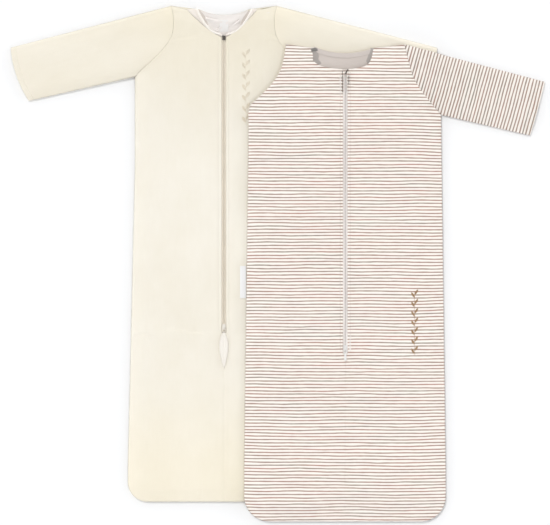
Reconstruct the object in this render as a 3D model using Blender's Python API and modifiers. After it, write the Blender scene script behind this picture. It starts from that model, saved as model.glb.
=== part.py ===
"""Two-piece baby sleeping bag, laid flat.

A lined velour outer bag with long sleeves lies on its back, and a thin jersey
inner bag lies on top of it, offset to one side. Its left sleeve is folded
under it and its right sleeve is spread out. Each bag has a front zip that
closes from the neck down. Metres, +Z up, +Y towards the head. The origin is
at the middle of the resting face.
"""
import bpy
import bmesh
from math import cos, hypot, pi, sin
from mathutils import Matrix, Vector

# ---------------------------------------------------------------- placing
OUTER_X = -0.1105        # centre line of the outer bag
INNER_X = 0.1375         # centre line of the inner bag

# ---------------------------------------------------------------- outer bag
OUTER_ARMPIT = (0.1825, 0.382)       # beside its own centre line, and along Y
OUTER_SHOULDER = (0.1087, 0.528)
OUTER_NECK_OPEN = (0.0510, 0.5225)   # where the neck opening meets the shoulder
OUTER_NECK_SEAM = (0.0767, 0.5207)   # where the neck facing meets the shoulder
OUTER_NECK_OPEN_LOW = 0.4695
OUTER_NECK_SEAM_LOW = 0.4620
OUTER_BACK_NECK_LOW = 0.5094
OUTER_SIDE_TOP = 0.1810              # half width below the armpit
OUTER_SIDE_LOW = 0.1970              # half width near the hem
OUTER_FLARE_FROM = 0.200
OUTER_FLARE_TO = -0.420
OUTER_HEM = -0.488
OUTER_CORNER = 0.040
OUTER_CUFF_TOP = (0.4370, 0.4420)
OUTER_CUFF_LOW = (0.4000, 0.3330)

SHELL = 0.0024           # velour
BACK_TOP = 0.0022        # top face of the outer back panel
LINING = 0.0010
BACK_LINING_Z = 0.0025
FRONT_Z = 0.0116         # underside of the raised outer front
EDGE_Z = 0.0026          # underside of the outer front along its side seams
RISE = 0.024             # width over which the front rises from a seam
SLEEVE_HEIGHT = FRONT_Z + SHELL
SLEEVE_WALL = 0.0020

# ---------------------------------------------------------------- inner bag
INNER_ARMPIT = (0.1970, 0.315)
INNER_SHOULDER = (0.1240, 0.447)
INNER_NECK = (0.0595, 0.4377)
INNER_NECK_LOW = 0.3970
INNER_BACK_NECK_LOW = 0.4295
INNER_SIDE_TOP = 0.1975
INNER_SIDE_LOW = 0.2065
INNER_FLARE_FROM = 0.250
INNER_FLARE_TO = -0.420
INNER_HEM = -0.529
INNER_CORNER = 0.052
INNER_CUFF_TOP = (0.4095, 0.3720)
INNER_CUFF_LOW = (0.3790, 0.2620)

JERSEY = 0.0012
DRAPE = 0.0149           # underside of the inner back where it lies on the outer bag
DRAPE_INSIDE = 0.018     # the drape starts this far inside the outer bag's outline
DRAPE_WIDTH = 0.056      # and reaches the floor over this width
INNER_FRONT_Z = 0.0220   # underside of the raised inner front
INNER_EDGE_GAP = 0.0011
INNER_SLEEVE_HEIGHT = 0.0088
FOLDED_SLEEVE_HEIGHT = 0.0024
FOLDED_SLEEVE_LIFT = 0.0040
SLOPE_ALLOWANCE = 0.00135   # height that a sloping jersey layer takes up

# ---------------------------------------------------------------- zips
GAP = 0.0004
OUTER_ZIP_TOP = 0.4660
OUTER_ZIP_LOW = -0.1400
OUTER_CHANNEL = 0.0043   # half width of the gap between the front edges
INNER_ZIP_TOP = 0.3950
INNER_ZIP_LOW = -0.1830
INNER_CHANNEL = 0.0038
CLOSE_STEP = 0.0026      # the fronts meet over this length just below a zip
SEAM_HALF = 0.0002       # half the gap between the fronts below a zip
TAPE_INNER = 0.0010      # near and far edge of a tape, beside the zip's centre line
TAPE_OUTER = 0.0128
TAPE_THICK = 0.0007
TAPE_SINK = 0.0003       # the tapes lie this far below the underside of the front
COIL_INNER = 0.0011      # near and far edge of a coil
COIL_OUTER = 0.0030
COIL_HEIGHT = 0.0014
PLATE = 0.0011           # upper and lower plates of a slider
UNDER_PLATE = 0.0009
ARCH_FOOT = 0.0042       # a slider's bridge: outer and inner half length, heights
ARCH_INSIDE = 0.0030
ARCH_GAP = 0.0022
ARCH_HIGH = 0.0031
SLIDER_LENGTH = 0.0120
SLIDER_HALF = 0.0034
WEB_HALF = 0.0006
BOX_LENGTH = 0.0090
BOX_HALF = 0.0032
PIN_SET = 0.0016         # the insertion pin stands this far to the left in its box
STOP_LENGTH = 0.0035
GUARD_HALF = 0.0125
GUARD_THICK = 0.0008
WIRE = 0.0006

COLOURS = {
    "velour": ((0.86, 0.81, 0.68), 0.95, 0.0),
    "lining": ((0.80, 0.76, 0.70), 0.90, 0.0),
    "jersey": ((0.84, 0.77, 0.70), 0.92, 0.0),
    "facing": ((0.62, 0.58, 0.54), 0.92, 0.0),
    "tape_cream": ((0.74, 0.68, 0.56), 0.85, 0.0),
    "tape_grey": ((0.66, 0.62, 0.60), 0.85, 0.0),
    "coil_cream": ((0.66, 0.58, 0.46), 0.45, 0.0),
    "coil_grey": ((0.62, 0.59, 0.57), 0.45, 0.0),
    "dark_metal": ((0.10, 0.09, 0.08), 0.40, 1.0),
    "pale_metal": ((0.72, 0.71, 0.69), 0.35, 1.0),
    "white_plastic": ((0.85, 0.84, 0.82), 0.45, 0.0),
    "leaf_cloth": ((0.84, 0.82, 0.76), 0.92, 0.0),
    "label": ((0.86, 0.85, 0.84), 0.85, 0.0),
    "cream_thread": ((0.72, 0.64, 0.46), 0.60, 0.0),
    "brown_thread": ((0.30, 0.17, 0.08), 0.60, 0.0),
}


def clear_scene():
    for old in list(bpy.data.objects):
        bpy.data.objects.remove(old, do_unlink=True)


def make_collection(name):
    collection = bpy.data.collections.new(name)
    bpy.context.scene.collection.children.link(collection)
    return collection


def material(slot):
    found = bpy.data.materials.get(slot)
    if found:
        return found
    colour, roughness, metallic = COLOURS[slot]
    made = bpy.data.materials.new(slot)
    made.use_nodes = True
    shader = made.node_tree.nodes["Principled BSDF"]
    shader.inputs["Base Color"].default_value = (*colour, 1.0)
    shader.inputs["Roughness"].default_value = roughness
    shader.inputs["Metallic"].default_value = metallic
    return made


clear_scene()
BAG = make_collection("baby_sleeping_bag")
CUTTERS = make_collection("cutters")


# ---------------------------------------------------------------- helpers
def smooth(t):
    t = min(1.0, max(0.0, t))
    return t * t * (3.0 - 2.0 * t)


def lerp(a, b, t):
    return a + (b - a) * t


def mix(p, q, t):
    return (lerp(p[0], q[0], t), lerp(p[1], q[1], t))


def segment_distance(p, a, b):
    """Distance from p to the segment a-b."""
    ab = (b[0] - a[0], b[1] - a[1])
    t = ((p[0] - a[0]) * ab[0] + (p[1] - a[1]) * ab[1]) / (ab[0] ** 2 + ab[1] ** 2)
    t = min(1.0, max(0.0, t))
    return hypot(p[0] - a[0] - ab[0] * t, p[1] - a[1] - ab[1] * t)


def path_distance(p, path):
    return min(segment_distance(p, a, b) for a, b in zip(path, path[1:]))


def signed_distance(p, polygon):
    """Distance to a closed outline, negative inside it."""
    ring = polygon + polygon[:1]
    inside = False
    for a, b in zip(ring, ring[1:]):
        if (a[1] > p[1]) != (b[1] > p[1]):
            if p[0] < a[0] + (b[0] - a[0]) * (p[1] - a[1]) / (b[1] - a[1]):
                inside = not inside
    distance = path_distance(p, ring)
    return -distance if inside else distance


def finish(obj, slot, pivot=None):
    """Link an object, give it its material, and put its origin on the pivot."""
    if obj.name not in BAG.objects:
        BAG.objects.link(obj)
    obj.data.materials.clear()
    obj.data.materials.append(material(slot))
    if pivot is not None:
        obj.data.transform(Matrix.Translation(-Vector(pivot)))
        obj.location = pivot
    return obj


def solidify(obj, thickness, offset):
    """Give a sheet its thickness."""
    shell = obj.modifiers.new("shell", "SOLIDIFY")
    shell.thickness = thickness
    shell.offset = offset


def grid_sheet(name, rows, underside, thickness, slot, pivot=None):
    """A cloth sheet lofted through rows of (x, y) points, thickened upwards."""
    bm = bmesh.new()
    made = [[bm.verts.new((x, y, underside(x, y))) for x, y in row] for row in rows]
    for low, high in zip(made, made[1:]):
        for i in range(len(low) - 1):
            bm.faces.new((low[i], low[i + 1], high[i + 1], high[i]))
    bmesh.ops.recalc_face_normals(bm, faces=bm.faces[:])
    if sum(face.normal.z for face in bm.faces) < 0:
        bmesh.ops.reverse_faces(bm, faces=bm.faces[:])
    mesh = bpy.data.meshes.new(name)
    bm.to_mesh(mesh)
    bm.free()
    obj = bpy.data.objects.new(name, mesh)
    solidify(obj, thickness, 1.0)
    return finish(obj, slot, pivot)


def flat_piece(name, outline, low, high, slot, pivot=None):
    """A flat piece cut from an outline, from height low to height high."""
    curve = bpy.data.curves.new(name, "CURVE")
    curve.dimensions = "2D"
    curve.fill_mode = "BOTH"
    curve.extrude = (high - low) / 2
    spline = curve.splines.new("POLY")
    spline.points.add(len(outline) - 1)
    for point, (x, y) in zip(spline.points, outline):
        point.co = (x, y, 0.0, 1.0)
    spline.use_cyclic_u = True
    obj = bpy.data.objects.new(name, curve)
    finish(obj, slot)
    obj.location = (0.0, 0.0, (low + high) / 2)
    if pivot is not None:
        curve.transform(Matrix.Translation((-pivot[0], -pivot[1], obj.location.z - pivot[2])))
        obj.location = pivot
    return obj


def block(name, low, high, slot, pivot=None, bevel=0.0):
    """A box between two corners, with its edges rounded if bevel is given."""
    bm = bmesh.new()
    bmesh.ops.create_cube(bm, size=1.0)
    size = [b - a for a, b in zip(low, high)]
    centre = [(a + b) / 2 for a, b in zip(low, high)]
    bmesh.ops.scale(bm, vec=size, verts=bm.verts)
    bmesh.ops.translate(bm, vec=centre, verts=bm.verts)
    mesh = bpy.data.meshes.new(name)
    bm.to_mesh(mesh)
    bm.free()
    obj = bpy.data.objects.new(name, mesh)
    if bevel:
        edge = obj.modifiers.new("edges", "BEVEL")
        edge.width = bevel
        edge.segments = 1
    return finish(obj, slot, pivot)


def rod(name, start, end, radius, slot, sides=10):
    """A round rod between two points, built as a cylinder."""
    axis = Vector(end) - Vector(start)
    bm = bmesh.new()
    bmesh.ops.create_cone(bm, cap_ends=True, segments=sides, radius1=radius, radius2=radius,
                          depth=axis.length)
    turn = axis.to_track_quat("Z", "Y").to_matrix().to_4x4()
    middle = (Vector(start) + Vector(end)) / 2
    bmesh.ops.transform(bm, matrix=Matrix.Translation(middle) @ turn, verts=bm.verts)
    mesh = bpy.data.meshes.new(name)
    bm.to_mesh(mesh)
    bm.free()
    return finish(bpy.data.objects.new(name, mesh), slot)


def cut_away(obj, cutter):
    """Boolean cut of a second shape out of obj."""
    BAG.objects.unlink(cutter)
    CUTTERS.objects.link(cutter)
    cutter.hide_render = True
    cutter.display_type = "WIRE"
    hole = obj.modifiers.new("hole", "BOOLEAN")
    hole.operation = "DIFFERENCE"
    hole.solver = "EXACT"
    hole.object = cutter


def join_on(obj, tool):
    """Boolean union of a second shape into obj."""
    BAG.objects.unlink(tool)
    CUTTERS.objects.link(tool)
    tool.hide_render = True
    tool.display_type = "WIRE"
    weld = obj.modifiers.new("joined", "BOOLEAN")
    weld.operation = "UNION"
    weld.solver = "EXACT"
    weld.object = tool


# ---------------------------------------------------------------- outlines
def flared_half_width(y, top, low, start, end, hem, corner):
    """Half width of a bag below its armpit, with a round bottom corner."""
    width = lerp(top, low, min(1.0, max(0.0, (start - y) / (start - end))))
    rise = y - hem
    if rise < corner:
        width -= corner - (corner ** 2 - (corner - rise) ** 2) ** 0.5
    return width


def outer_half_width(y):
    if y > OUTER_ARMPIT[1]:
        t = (y - OUTER_ARMPIT[1]) / (OUTER_SHOULDER[1] - OUTER_ARMPIT[1])
        return lerp(OUTER_ARMPIT[0], OUTER_SHOULDER[0], t)
    return flared_half_width(y, OUTER_SIDE_TOP, OUTER_SIDE_LOW, OUTER_FLARE_FROM,
                             OUTER_FLARE_TO, OUTER_HEM, OUTER_CORNER)


def inner_half_width(y):
    if y > INNER_ARMPIT[1]:
        t = (y - INNER_ARMPIT[1]) / (INNER_SHOULDER[1] - INNER_ARMPIT[1])
        return lerp(INNER_ARMPIT[0], INNER_SHOULDER[0], t)
    return flared_half_width(y, INNER_SIDE_TOP, INNER_SIDE_LOW, INNER_FLARE_FROM,
                             INNER_FLARE_TO, INNER_HEM, INNER_CORNER)


def outer_back_top(x):
    """Top edge of the outer back panel: neck curve, then shoulder."""
    x = abs(x)
    if x < OUTER_NECK_OPEN[0]:
        return OUTER_BACK_NECK_LOW + 0.0115 * (x / OUTER_NECK_OPEN[0]) ** 2.2
    t = (x - OUTER_NECK_OPEN[0]) / (OUTER_SHOULDER[0] - OUTER_NECK_OPEN[0])
    return lerp(OUTER_BACK_NECK_LOW + 0.0115, OUTER_SHOULDER[1], t)


def inner_front_neck(x):
    t = min(1.0, abs(x) / INNER_NECK[0])
    return INNER_NECK_LOW + 0.0120 * t ** 2 + 0.0287 * t ** 12


def inner_back_top(x):
    x = abs(x)
    if x < INNER_NECK[0]:
        return INNER_BACK_NECK_LOW + 0.0120 * (x / INNER_NECK[0]) ** 2.2
    t = (x - INNER_NECK[0]) / (INNER_SHOULDER[0] - INNER_NECK[0])
    return lerp(INNER_BACK_NECK_LOW + 0.0120, INNER_SHOULDER[1], t)


def corner_rows(hem, corner):
    """Heights of the rows round a bottom corner, close together where it turns."""
    steps = 5
    return [hem + corner * (1.0 - cos(pi / 2 * i / steps)) for i in range(steps + 1)]


def zip_end_rows(low):
    """Rows where the two fronts, and then their linings, close below a zip."""
    return [low - CLOSE_STEP * i for i in (4, 3, 2)]


OUTER_BODY_ROWS = corner_rows(OUTER_HEM, OUTER_CORNER) + [-0.25] + zip_end_rows(OUTER_ZIP_LOW) + [
    -0.05, 0.15, 0.30, 0.345, 0.358, 0.370, OUTER_ARMPIT[1]]
OUTER_NECK_ROWS = [0.4645, 0.470, 0.480, 0.493, 0.508]
INNER_BODY_ROWS = corner_rows(INNER_HEM, INNER_CORNER) + [
    -0.462, -0.445, -0.40, -0.30] + zip_end_rows(INNER_ZIP_LOW) + [
    -0.10, 0.04, 0.10, 0.14, 0.18, 0.22, 0.25, 0.265, 0.278, 0.291, 0.304, INNER_ARMPIT[1]]
INNER_NECK_ROWS = [0.3972, 0.401, 0.407, 0.415, 0.425]


def outer_side_seam():
    """The outer bag's right side from the middle of the hem to the armpit."""
    return [(0.0, OUTER_HEM)] + [(outer_half_width(y), y) for y in OUTER_BODY_ROWS]


def inner_side_seam():
    return [(0.0, INNER_HEM)] + [(inner_half_width(y), y) for y in INNER_BODY_ROWS]


OUTER_SIDE_SEAM = outer_side_seam()
INNER_SIDE_SEAM = inner_side_seam()
OUTER_SHOULDER_SEAM = [OUTER_NECK_OPEN, OUTER_NECK_SEAM, OUTER_SHOULDER]
INNER_SHOULDER_SEAM = [INNER_NECK, INNER_SHOULDER]


def outer_footprint():
    """Whole outline of the outer bag with its sleeves, in the object's frame."""
    right = OUTER_SIDE_SEAM + [OUTER_CUFF_LOW, OUTER_CUFF_TOP, OUTER_SHOULDER]
    left = [(-x, y) for x, y in reversed(right[1:])]
    return [(x + OUTER_X, y) for x, y in right + left]


def folded_sleeve_corners():
    """Shoulder, armpit, lower and upper cuff corner of the sleeve folded under the bag."""
    shoulder = Vector((-INNER_SHOULDER[0], INNER_SHOULDER[1]))
    armpit = Vector((-INNER_ARMPIT[0], INNER_ARMPIT[1]))
    line = (armpit - shoulder).normalized()
    corners = [shoulder, armpit]
    for x, y in (INNER_CUFF_LOW, INNER_CUFF_TOP):
        arm = Vector((-x, y)) - shoulder
        corners.append(shoulder + line * (2 * arm.dot(line)) - arm)
    return [(corner.x + INNER_X, corner.y) for corner in corners]


FOOTPRINT = outer_footprint()
FOLDED_AREA = folded_sleeve_corners()


def drape(x, y):
    """Height at which jersey laid over the outer bag comes to rest."""
    outside = signed_distance((x, y), FOOTPRINT)
    return DRAPE * (1.0 - smooth((outside + DRAPE_INSIDE) / DRAPE_WIDTH))


def inner_base(x, y):
    """Underside of the inner back panel: the drape, lifted by the folded sleeve."""
    outside = signed_distance((x, y), FOLDED_AREA)
    return drape(x, y) + FOLDED_SLEEVE_LIFT * (1.0 - smooth((outside - 0.004) / 0.030))


# ---------------------------------------------------------------- panels
def outer_front_height(x, y):
    """Underside of the outer front: low along its seams, raised inside them."""
    local = (abs(x - OUTER_X), y)
    away = min(path_distance(local, OUTER_SIDE_SEAM), path_distance(local, OUTER_SHOULDER_SEAM))
    return lerp(EDGE_Z, FRONT_Z, smooth(away / RISE))


def inner_front_height(x, y):
    """Underside of the inner front: on the back panel along its seams, raised inside."""
    local = (abs(x - INNER_X), y)
    away = min(path_distance(local, INNER_SIDE_SEAM), path_distance(local, INNER_SHOULDER_SEAM))
    low = inner_base(x, y) + SLOPE_ALLOWANCE + INNER_EDGE_GAP
    width = lerp(0.045, 0.020, drape(x, y) / DRAPE)
    return lerp(low, INNER_FRONT_Z, smooth(away / width))


def half_front_rows(levels, start, side, shoulder_seam, columns, offsets):
    """Rows of points over half a front, from its zip or neck edge to its side."""
    neck, shoulder = shoulder_seam[-2:]
    rows = []
    for y in levels:
        first = start(y)
        last = side(y)
        reach = min(1.0, (last - first) / (offsets[0] * 1.5))
        xs = [lerp(first, last - offsets[0] * reach, i / columns) for i in range(columns)]
        xs += [last - offset * reach for offset in offsets] + [last]
        rows.append([(x, y) for x in xs])
    slope = (shoulder[1] - neck[1]) / (shoulder[0] - neck[0])
    rows[-1] = [(x, neck[1] + slope * (x - neck[0])) for x, _ in rows[-1]]
    return rows


def sided(rows, centre, side):
    return [[(centre + x * side, y) for x, y in row] for row in rows]


def outer_seam_x(y):
    """Where the outer front panel starts at height y: centre seam, zip, then neck seam."""
    if y < OUTER_ZIP_LOW - 2.5 * CLOSE_STEP:
        return SEAM_HALF
    rise = max(0.0, y - OUTER_NECK_SEAM_LOW) / (OUTER_NECK_SEAM[1] - OUTER_NECK_SEAM_LOW)
    return max(OUTER_CHANNEL, OUTER_NECK_SEAM[0] * min(1.0, rise) ** (1 / 1.4))


def outer_opening_x(y):
    """Where the outer neck opening ends at height y."""
    rise = max(0.0, y - OUTER_NECK_OPEN_LOW) / (OUTER_NECK_OPEN[1] - OUTER_NECK_OPEN_LOW)
    return max(OUTER_CHANNEL, OUTER_NECK_OPEN[0] * min(1.0, rise) ** (1 / 2.4))


def inner_neck_x(y):
    """Where the inner front starts at height y: centre seam, zip, then neckline."""
    if y < INNER_ZIP_LOW - 2.5 * CLOSE_STEP:
        return SEAM_HALF
    steps = 200
    xs = [INNER_NECK[0] * i / steps for i in range(steps + 1)]
    below = [x for x in xs if inner_front_neck(x) <= y]
    return max([INNER_CHANNEL] + below)


def outer_fronts():
    offsets = [RISE, RISE / 2, 0.005]
    levels = OUTER_BODY_ROWS + [0.41, 0.44, OUTER_NECK_SEAM_LOW] + OUTER_NECK_ROWS
    panel = half_front_rows(levels + [OUTER_SHOULDER[1]], outer_seam_x, outer_half_width,
                            OUTER_SHOULDER_SEAM, 2, offsets)
    facing = []
    for y in OUTER_NECK_ROWS + [OUTER_NECK_OPEN[1]]:
        ends = (outer_opening_x(y) + GAP, outer_seam_x(y) - 2 * GAP)
        facing.append([(lerp(*ends, t), y) for t in (0.0, 0.5, 1.0)])
    facing[-1] = [(x, OUTER_NECK_SEAM[1]) for x, _ in facing[-1]]
    for side, word in ((-1, "left"), (1, "right")):
        grid_sheet(f"outer_{word}_front_panel", sided(panel, OUTER_X, side),
                   outer_front_height, SHELL, "velour")
        grid_sheet(f"outer_{word}_neck_facing", sided(facing, OUTER_X, side),
                   outer_front_height, SHELL, "lining")


def outer_front_linings():
    """Linings behind the two fronts, sewn to the zip tapes and short of the side seams."""
    corner_insets = [0.026, 0.014]
    levels = OUTER_BODY_ROWS[3:] + [0.41, 0.44, 0.455]
    rows = []
    for i, y in enumerate(levels):
        side = outer_half_width(y)
        inset = corner_insets[i] if i < len(corner_insets) else 0.010
        start = SEAM_HALF if y < OUTER_ZIP_LOW - 3.5 * CLOSE_STEP else TAPE_OUTER + 1.5 * GAP
        xs = [start, (start + side) / 2] + [side - max(o, inset) for o in (RISE, RISE / 2)]
        xs.append(side - inset - 0.001 * (inset > 0.010))
        xs[3] -= 0.001 * (inset > RISE / 2)
        xs[2] -= 0.002 * (inset > RISE)
        rows.append([(x, y) for x in xs])
    below = LINING + 0.0008
    for side, word in ((-1, "left"), (1, "right")):
        grid_sheet(f"outer_{word}_front_lining", sided(rows, OUTER_X, side),
                   lambda x, y: outer_front_height(x, y) - below, LINING, "lining")


def outer_outline(inset):
    """Outline of the outer back with its neck curve, drawn in by an inset."""
    right = [(outer_half_width(y) - inset, y) for y in OUTER_BODY_ROWS
             if inset == 0.0 or y > OUTER_HEM + OUTER_CORNER / 2]
    if inset > 0.0:
        right.insert(0, (right[0][0] - OUTER_CORNER / 2, OUTER_HEM + 1.3 * inset))
    steps = 12
    for i in range(steps):
        x = OUTER_SHOULDER[0] * (1 - i / steps)
        right.append((x - inset * (i == 0), outer_back_top(x) - inset))
    left = [(-x, y) for x, y in reversed(right)]
    return [(x + OUTER_X, y) for x, y in right + [(0.0, OUTER_BACK_NECK_LOW - inset)] + left]


def outer_back():
    flat_piece("outer_back_panel", outer_outline(0.0), 0.0, BACK_TOP, "velour")
    lining_top = BACK_LINING_Z + LINING
    flat_piece("outer_back_lining", outer_outline(0.007), BACK_LINING_Z, lining_top, "lining")
    neck = [0.040 * (i / 4 - 1) for i in range(9)]
    upper = [(x, outer_back_top(x) - 0.001) for x in neck]
    lower = [(x, outer_back_top(x) - 0.030) for x in reversed(neck)]
    facing = [(x + OUTER_X, y) for x, y in upper + lower]
    facing_top = lining_top + GAP + 0.0008
    flat_piece("outer_back_neck_facing", facing, lining_top + GAP, facing_top, "lining")
    label_half = 0.009
    block("outer_neck_label", (OUTER_X - label_half, 0.474, facing_top + GAP),
          (OUTER_X + label_half, 0.499, facing_top + GAP + 0.0006), "label")


def inner_back():
    """The inner back panel, draped over the outer bag and down to the floor."""
    steps = [-1.0, -0.96, -0.88, -0.76, -0.62, -0.50, -0.43, -0.38, -0.33, -0.28, -0.23,
             -0.18, -0.13, -0.08, -0.02, 0.10, 0.30, 0.50, 0.70, 0.88, 1.0]
    rows = []
    for y in INNER_BODY_ROWS:
        rows.append([(INNER_X + inner_half_width(y) * step, y) for step in steps])
    top_rows = 5
    for i in range(1, top_rows + 1):
        level = lerp(INNER_ARMPIT[1], INNER_SHOULDER[1], i / top_rows)
        row = []
        for step in steps:
            x = inner_half_width(level) * step
            y = lerp(INNER_ARMPIT[1], inner_back_top(INNER_SHOULDER[0] * step), i / top_rows)
            row.append((INNER_X + x, y))
        rows.append(row)
    grid_sheet("inner_back_panel", rows, inner_base, JERSEY, "jersey")
    neck = [0.053 * (i / 4 - 1) for i in range(9)]
    upper = [(x, inner_back_top(x) - 0.001) for x in neck]
    lower = [(x, inner_back_top(x) - 0.036) for x in reversed(neck)]
    facing_z = DRAPE + 0.0005 + SLOPE_ALLOWANCE
    facing = [(x + INNER_X, y) for x, y in upper + lower]
    flat_piece("inner_back_neck_facing", facing, facing_z, facing_z + 0.0008, "facing")


def inner_fronts():
    offsets = {-1: [0.020, 0.010, 0.004], 1: [0.045, 0.030, 0.015, 0.006]}
    columns = {-1: 8, 1: 2}
    levels = INNER_BODY_ROWS + [0.335, 0.36, 0.38] + INNER_NECK_ROWS + [INNER_SHOULDER[1]]
    for side, word in ((-1, "left"), (1, "right")):
        rows = half_front_rows(levels, inner_neck_x, inner_half_width, INNER_SHOULDER_SEAM,
                               columns[side], offsets[side])
        grid_sheet(f"inner_{word}_front_panel", sided(rows, INNER_X, side),
                   inner_front_height, JERSEY, "jersey")


# ---------------------------------------------------------------- sleeves
def sleeve_frame(shoulder, armpit, cuff_top, cuff_low, bow):
    """Point at s from armhole to cuff and d from the upper edge, or the lower if negative."""
    def place(s, d):
        upper = mix(shoulder, cuff_top, s)
        lower = mix(armpit, cuff_low, s)
        upper = (upper[0], upper[1] + 4 * bow * s * (1 - s))
        across = Vector((lower[0] - upper[0], lower[1] - upper[1]))
        width = across.length
        across /= width
        t = d if d >= 0 else width + d
        return (upper[0] + across.x * t, upper[1] + across.y * t), width
    return place


def tube_ring(place, s, inset, offsets, low, high, base, centre, side):
    """One ring of a flattened tube: over the top from edge to edge, and back underneath."""
    width = place(s, 0.0)[1]
    ds = [max(inset, d) + 0.0012 * (d < inset) * i for i, d in enumerate(offsets)]
    ds = ds + [width / 2] + [width - d for d in reversed(ds)]
    top = []
    bottom = []
    for d in ds:
        x, y = place(s, d)[0]
        x = centre + x * side
        ground = base(x, y)
        edge = min(d, width - d)
        top.append(Vector((x, y, ground + high(s, edge))))
        bottom.append(Vector((x, y, ground + low)))
    return top + bottom[::-1]


def tube(name, rings_out, rings_in, slot, pivot=None):
    """A flattened tube open at both ends, from its outer and inner rings."""
    bm = bmesh.new()
    outer = [[bm.verts.new(p) for p in ring] for ring in rings_out]
    inner = [[bm.verts.new(p) for p in ring] for ring in rings_in]
    count = len(outer[0])
    for skin in (outer, inner):
        for a, b in zip(skin, skin[1:]):
            for i in range(count):
                j = (i + 1) % count
                bm.faces.new((a[i], a[j], b[j], b[i]))
    for end in (0, -1):
        for i in range(count):
            j = (i + 1) % count
            bm.faces.new((outer[end][i], outer[end][j], inner[end][j], inner[end][i]))
    bmesh.ops.recalc_face_normals(bm, faces=bm.faces[:])
    mesh = bpy.data.meshes.new(name)
    bm.to_mesh(mesh)
    bm.free()
    return finish(bpy.data.objects.new(name, mesh), slot, pivot)


def sleeve_height(full, edge, cuff, rise, taper, length):
    """Height of a sleeve's upper side: low along both edges and towards its cuff."""
    def high(s, d):
        body = lerp(cuff, full, smooth((1.0 - s) * length / taper))
        return lerp(edge, body, smooth(d / rise))
    return high


def sleeve_layer(name, place, stations, inset, offsets, low, high, wall, base, centre, side,
                 slot, pivot=None):
    """One layer of a sleeve: a tube with a wall, drawn in from the sleeve's outline."""

    def lowered(drop):
        return lambda s, d: high(s, d) - drop

    outside = [tube_ring(place, s, inset, offsets, low, high, base, centre, side)
               for s in stations]
    inner_offsets = [max(d, inset + wall) for d in offsets]
    inside = [tube_ring(place, s, inset + wall, inner_offsets, low + wall, lowered(wall),
                        base, centre, side) for s in stations]
    return tube(name, outside, inside, slot, pivot)


def fold_axis(centre, shoulder, armpit, side, height):
    """Middle of an armhole's fold line, where the sleeve's origin goes."""
    x, y = mix(shoulder, armpit, 0.5)
    return (centre + x * side, y, height)


OUTER_FOLD_Z = SLEEVE_HEIGHT + 0.0008
INNER_FOLD_Z = INNER_FRONT_Z + JERSEY + 0.0008
OUTER_SLEEVE_START = 0.0025   # share of a sleeve that is kept clear of its armhole
INNER_SLEEVE_START = 0.0060
OUTER_LENGTH = 0.33
INNER_LENGTH = 0.29


def on_floor(x, y):
    """Height of the floor."""
    return 0.0


def outer_sleeves():
    place = sleeve_frame(OUTER_SHOULDER, OUTER_ARMPIT, OUTER_CUFF_TOP, OUTER_CUFF_LOW, 0.007)
    spans = [OUTER_SLEEVE_START, 0.2, 0.4, 0.6, 0.8, 0.9, 0.95, 1.0]
    lining_spans = [OUTER_SLEEVE_START, 0.2, 0.4, 0.6, 0.8, 0.9, 0.96]
    high = sleeve_height(SLEEVE_HEIGHT, 0.0050, 0.0095, RISE, 0.033, OUTER_LENGTH)
    lining_inset = 0.008
    lining_low = SLEEVE_WALL + GAP
    lining_drop = SLEEVE_WALL + 0.0006
    wall = 0.0008

    def lining_high(s, d):
        return high(s, d) - lining_drop

    for side, word in ((-1, "left"), (1, "right")):
        pivot = fold_axis(OUTER_X, OUTER_SHOULDER, OUTER_ARMPIT, side, OUTER_FOLD_Z)
        sleeve_layer(f"outer_{word}_sleeve", place, spans, 0.0, [0.0, 0.005, 0.012, 0.024],
                     0.0, high, SLEEVE_WALL, on_floor, OUTER_X, side, "velour", pivot)
        sleeve_layer(f"outer_{word}_sleeve_lining", place, lining_spans, lining_inset,
                     [lining_inset, 0.010, 0.012, 0.024], lining_low, lining_high, wall,
                     on_floor, OUTER_X, side, "lining", pivot)


def inner_right_sleeve():
    place = sleeve_frame(INNER_SHOULDER, INNER_ARMPIT, INNER_CUFF_TOP, INNER_CUFF_LOW, 0.005)
    spans = [INNER_SLEEVE_START, 0.05, 0.10, 0.15, 0.20, 0.25, 0.30, 0.36, 0.43, 0.52, 0.70, 0.88, 1.0]
    high = sleeve_height(INNER_SLEEVE_HEIGHT, 0.0036, 0.0066, 0.016, 0.030, INNER_LENGTH)
    pivot = fold_axis(INNER_X, INNER_SHOULDER, INNER_ARMPIT, 1, INNER_FOLD_Z)
    sleeve_layer("inner_right_sleeve", place, spans, 0.0, [0.0, 0.006, 0.016, 0.034],
                 0.0, high, JERSEY, drape, INNER_X, 1, "jersey", pivot)


def inner_left_sleeve():
    """The sleeve that is folded back under the bag and lies flat on the outer bag."""
    shoulder, armpit, cuff_low, cuff_top = FOLDED_AREA
    place = sleeve_frame(shoulder, armpit, cuff_top, cuff_low, 0.0)
    spans = [0.03, 0.12, 0.21, 0.30, 0.39, 0.48, 0.57, 0.66, 0.75, 0.84, 0.92, 1.0]
    wall = 0.0009

    def high(s, d):
        return FOLDED_SLEEVE_HEIGHT

    offsets = [0.0, 0.012, 0.024, 0.036, 0.048]
    sleeve_layer("inner_left_sleeve", place, spans, 0.0, offsets, 0.0, high, wall,
                 drape, 0.0, 1, "jersey")


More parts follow.
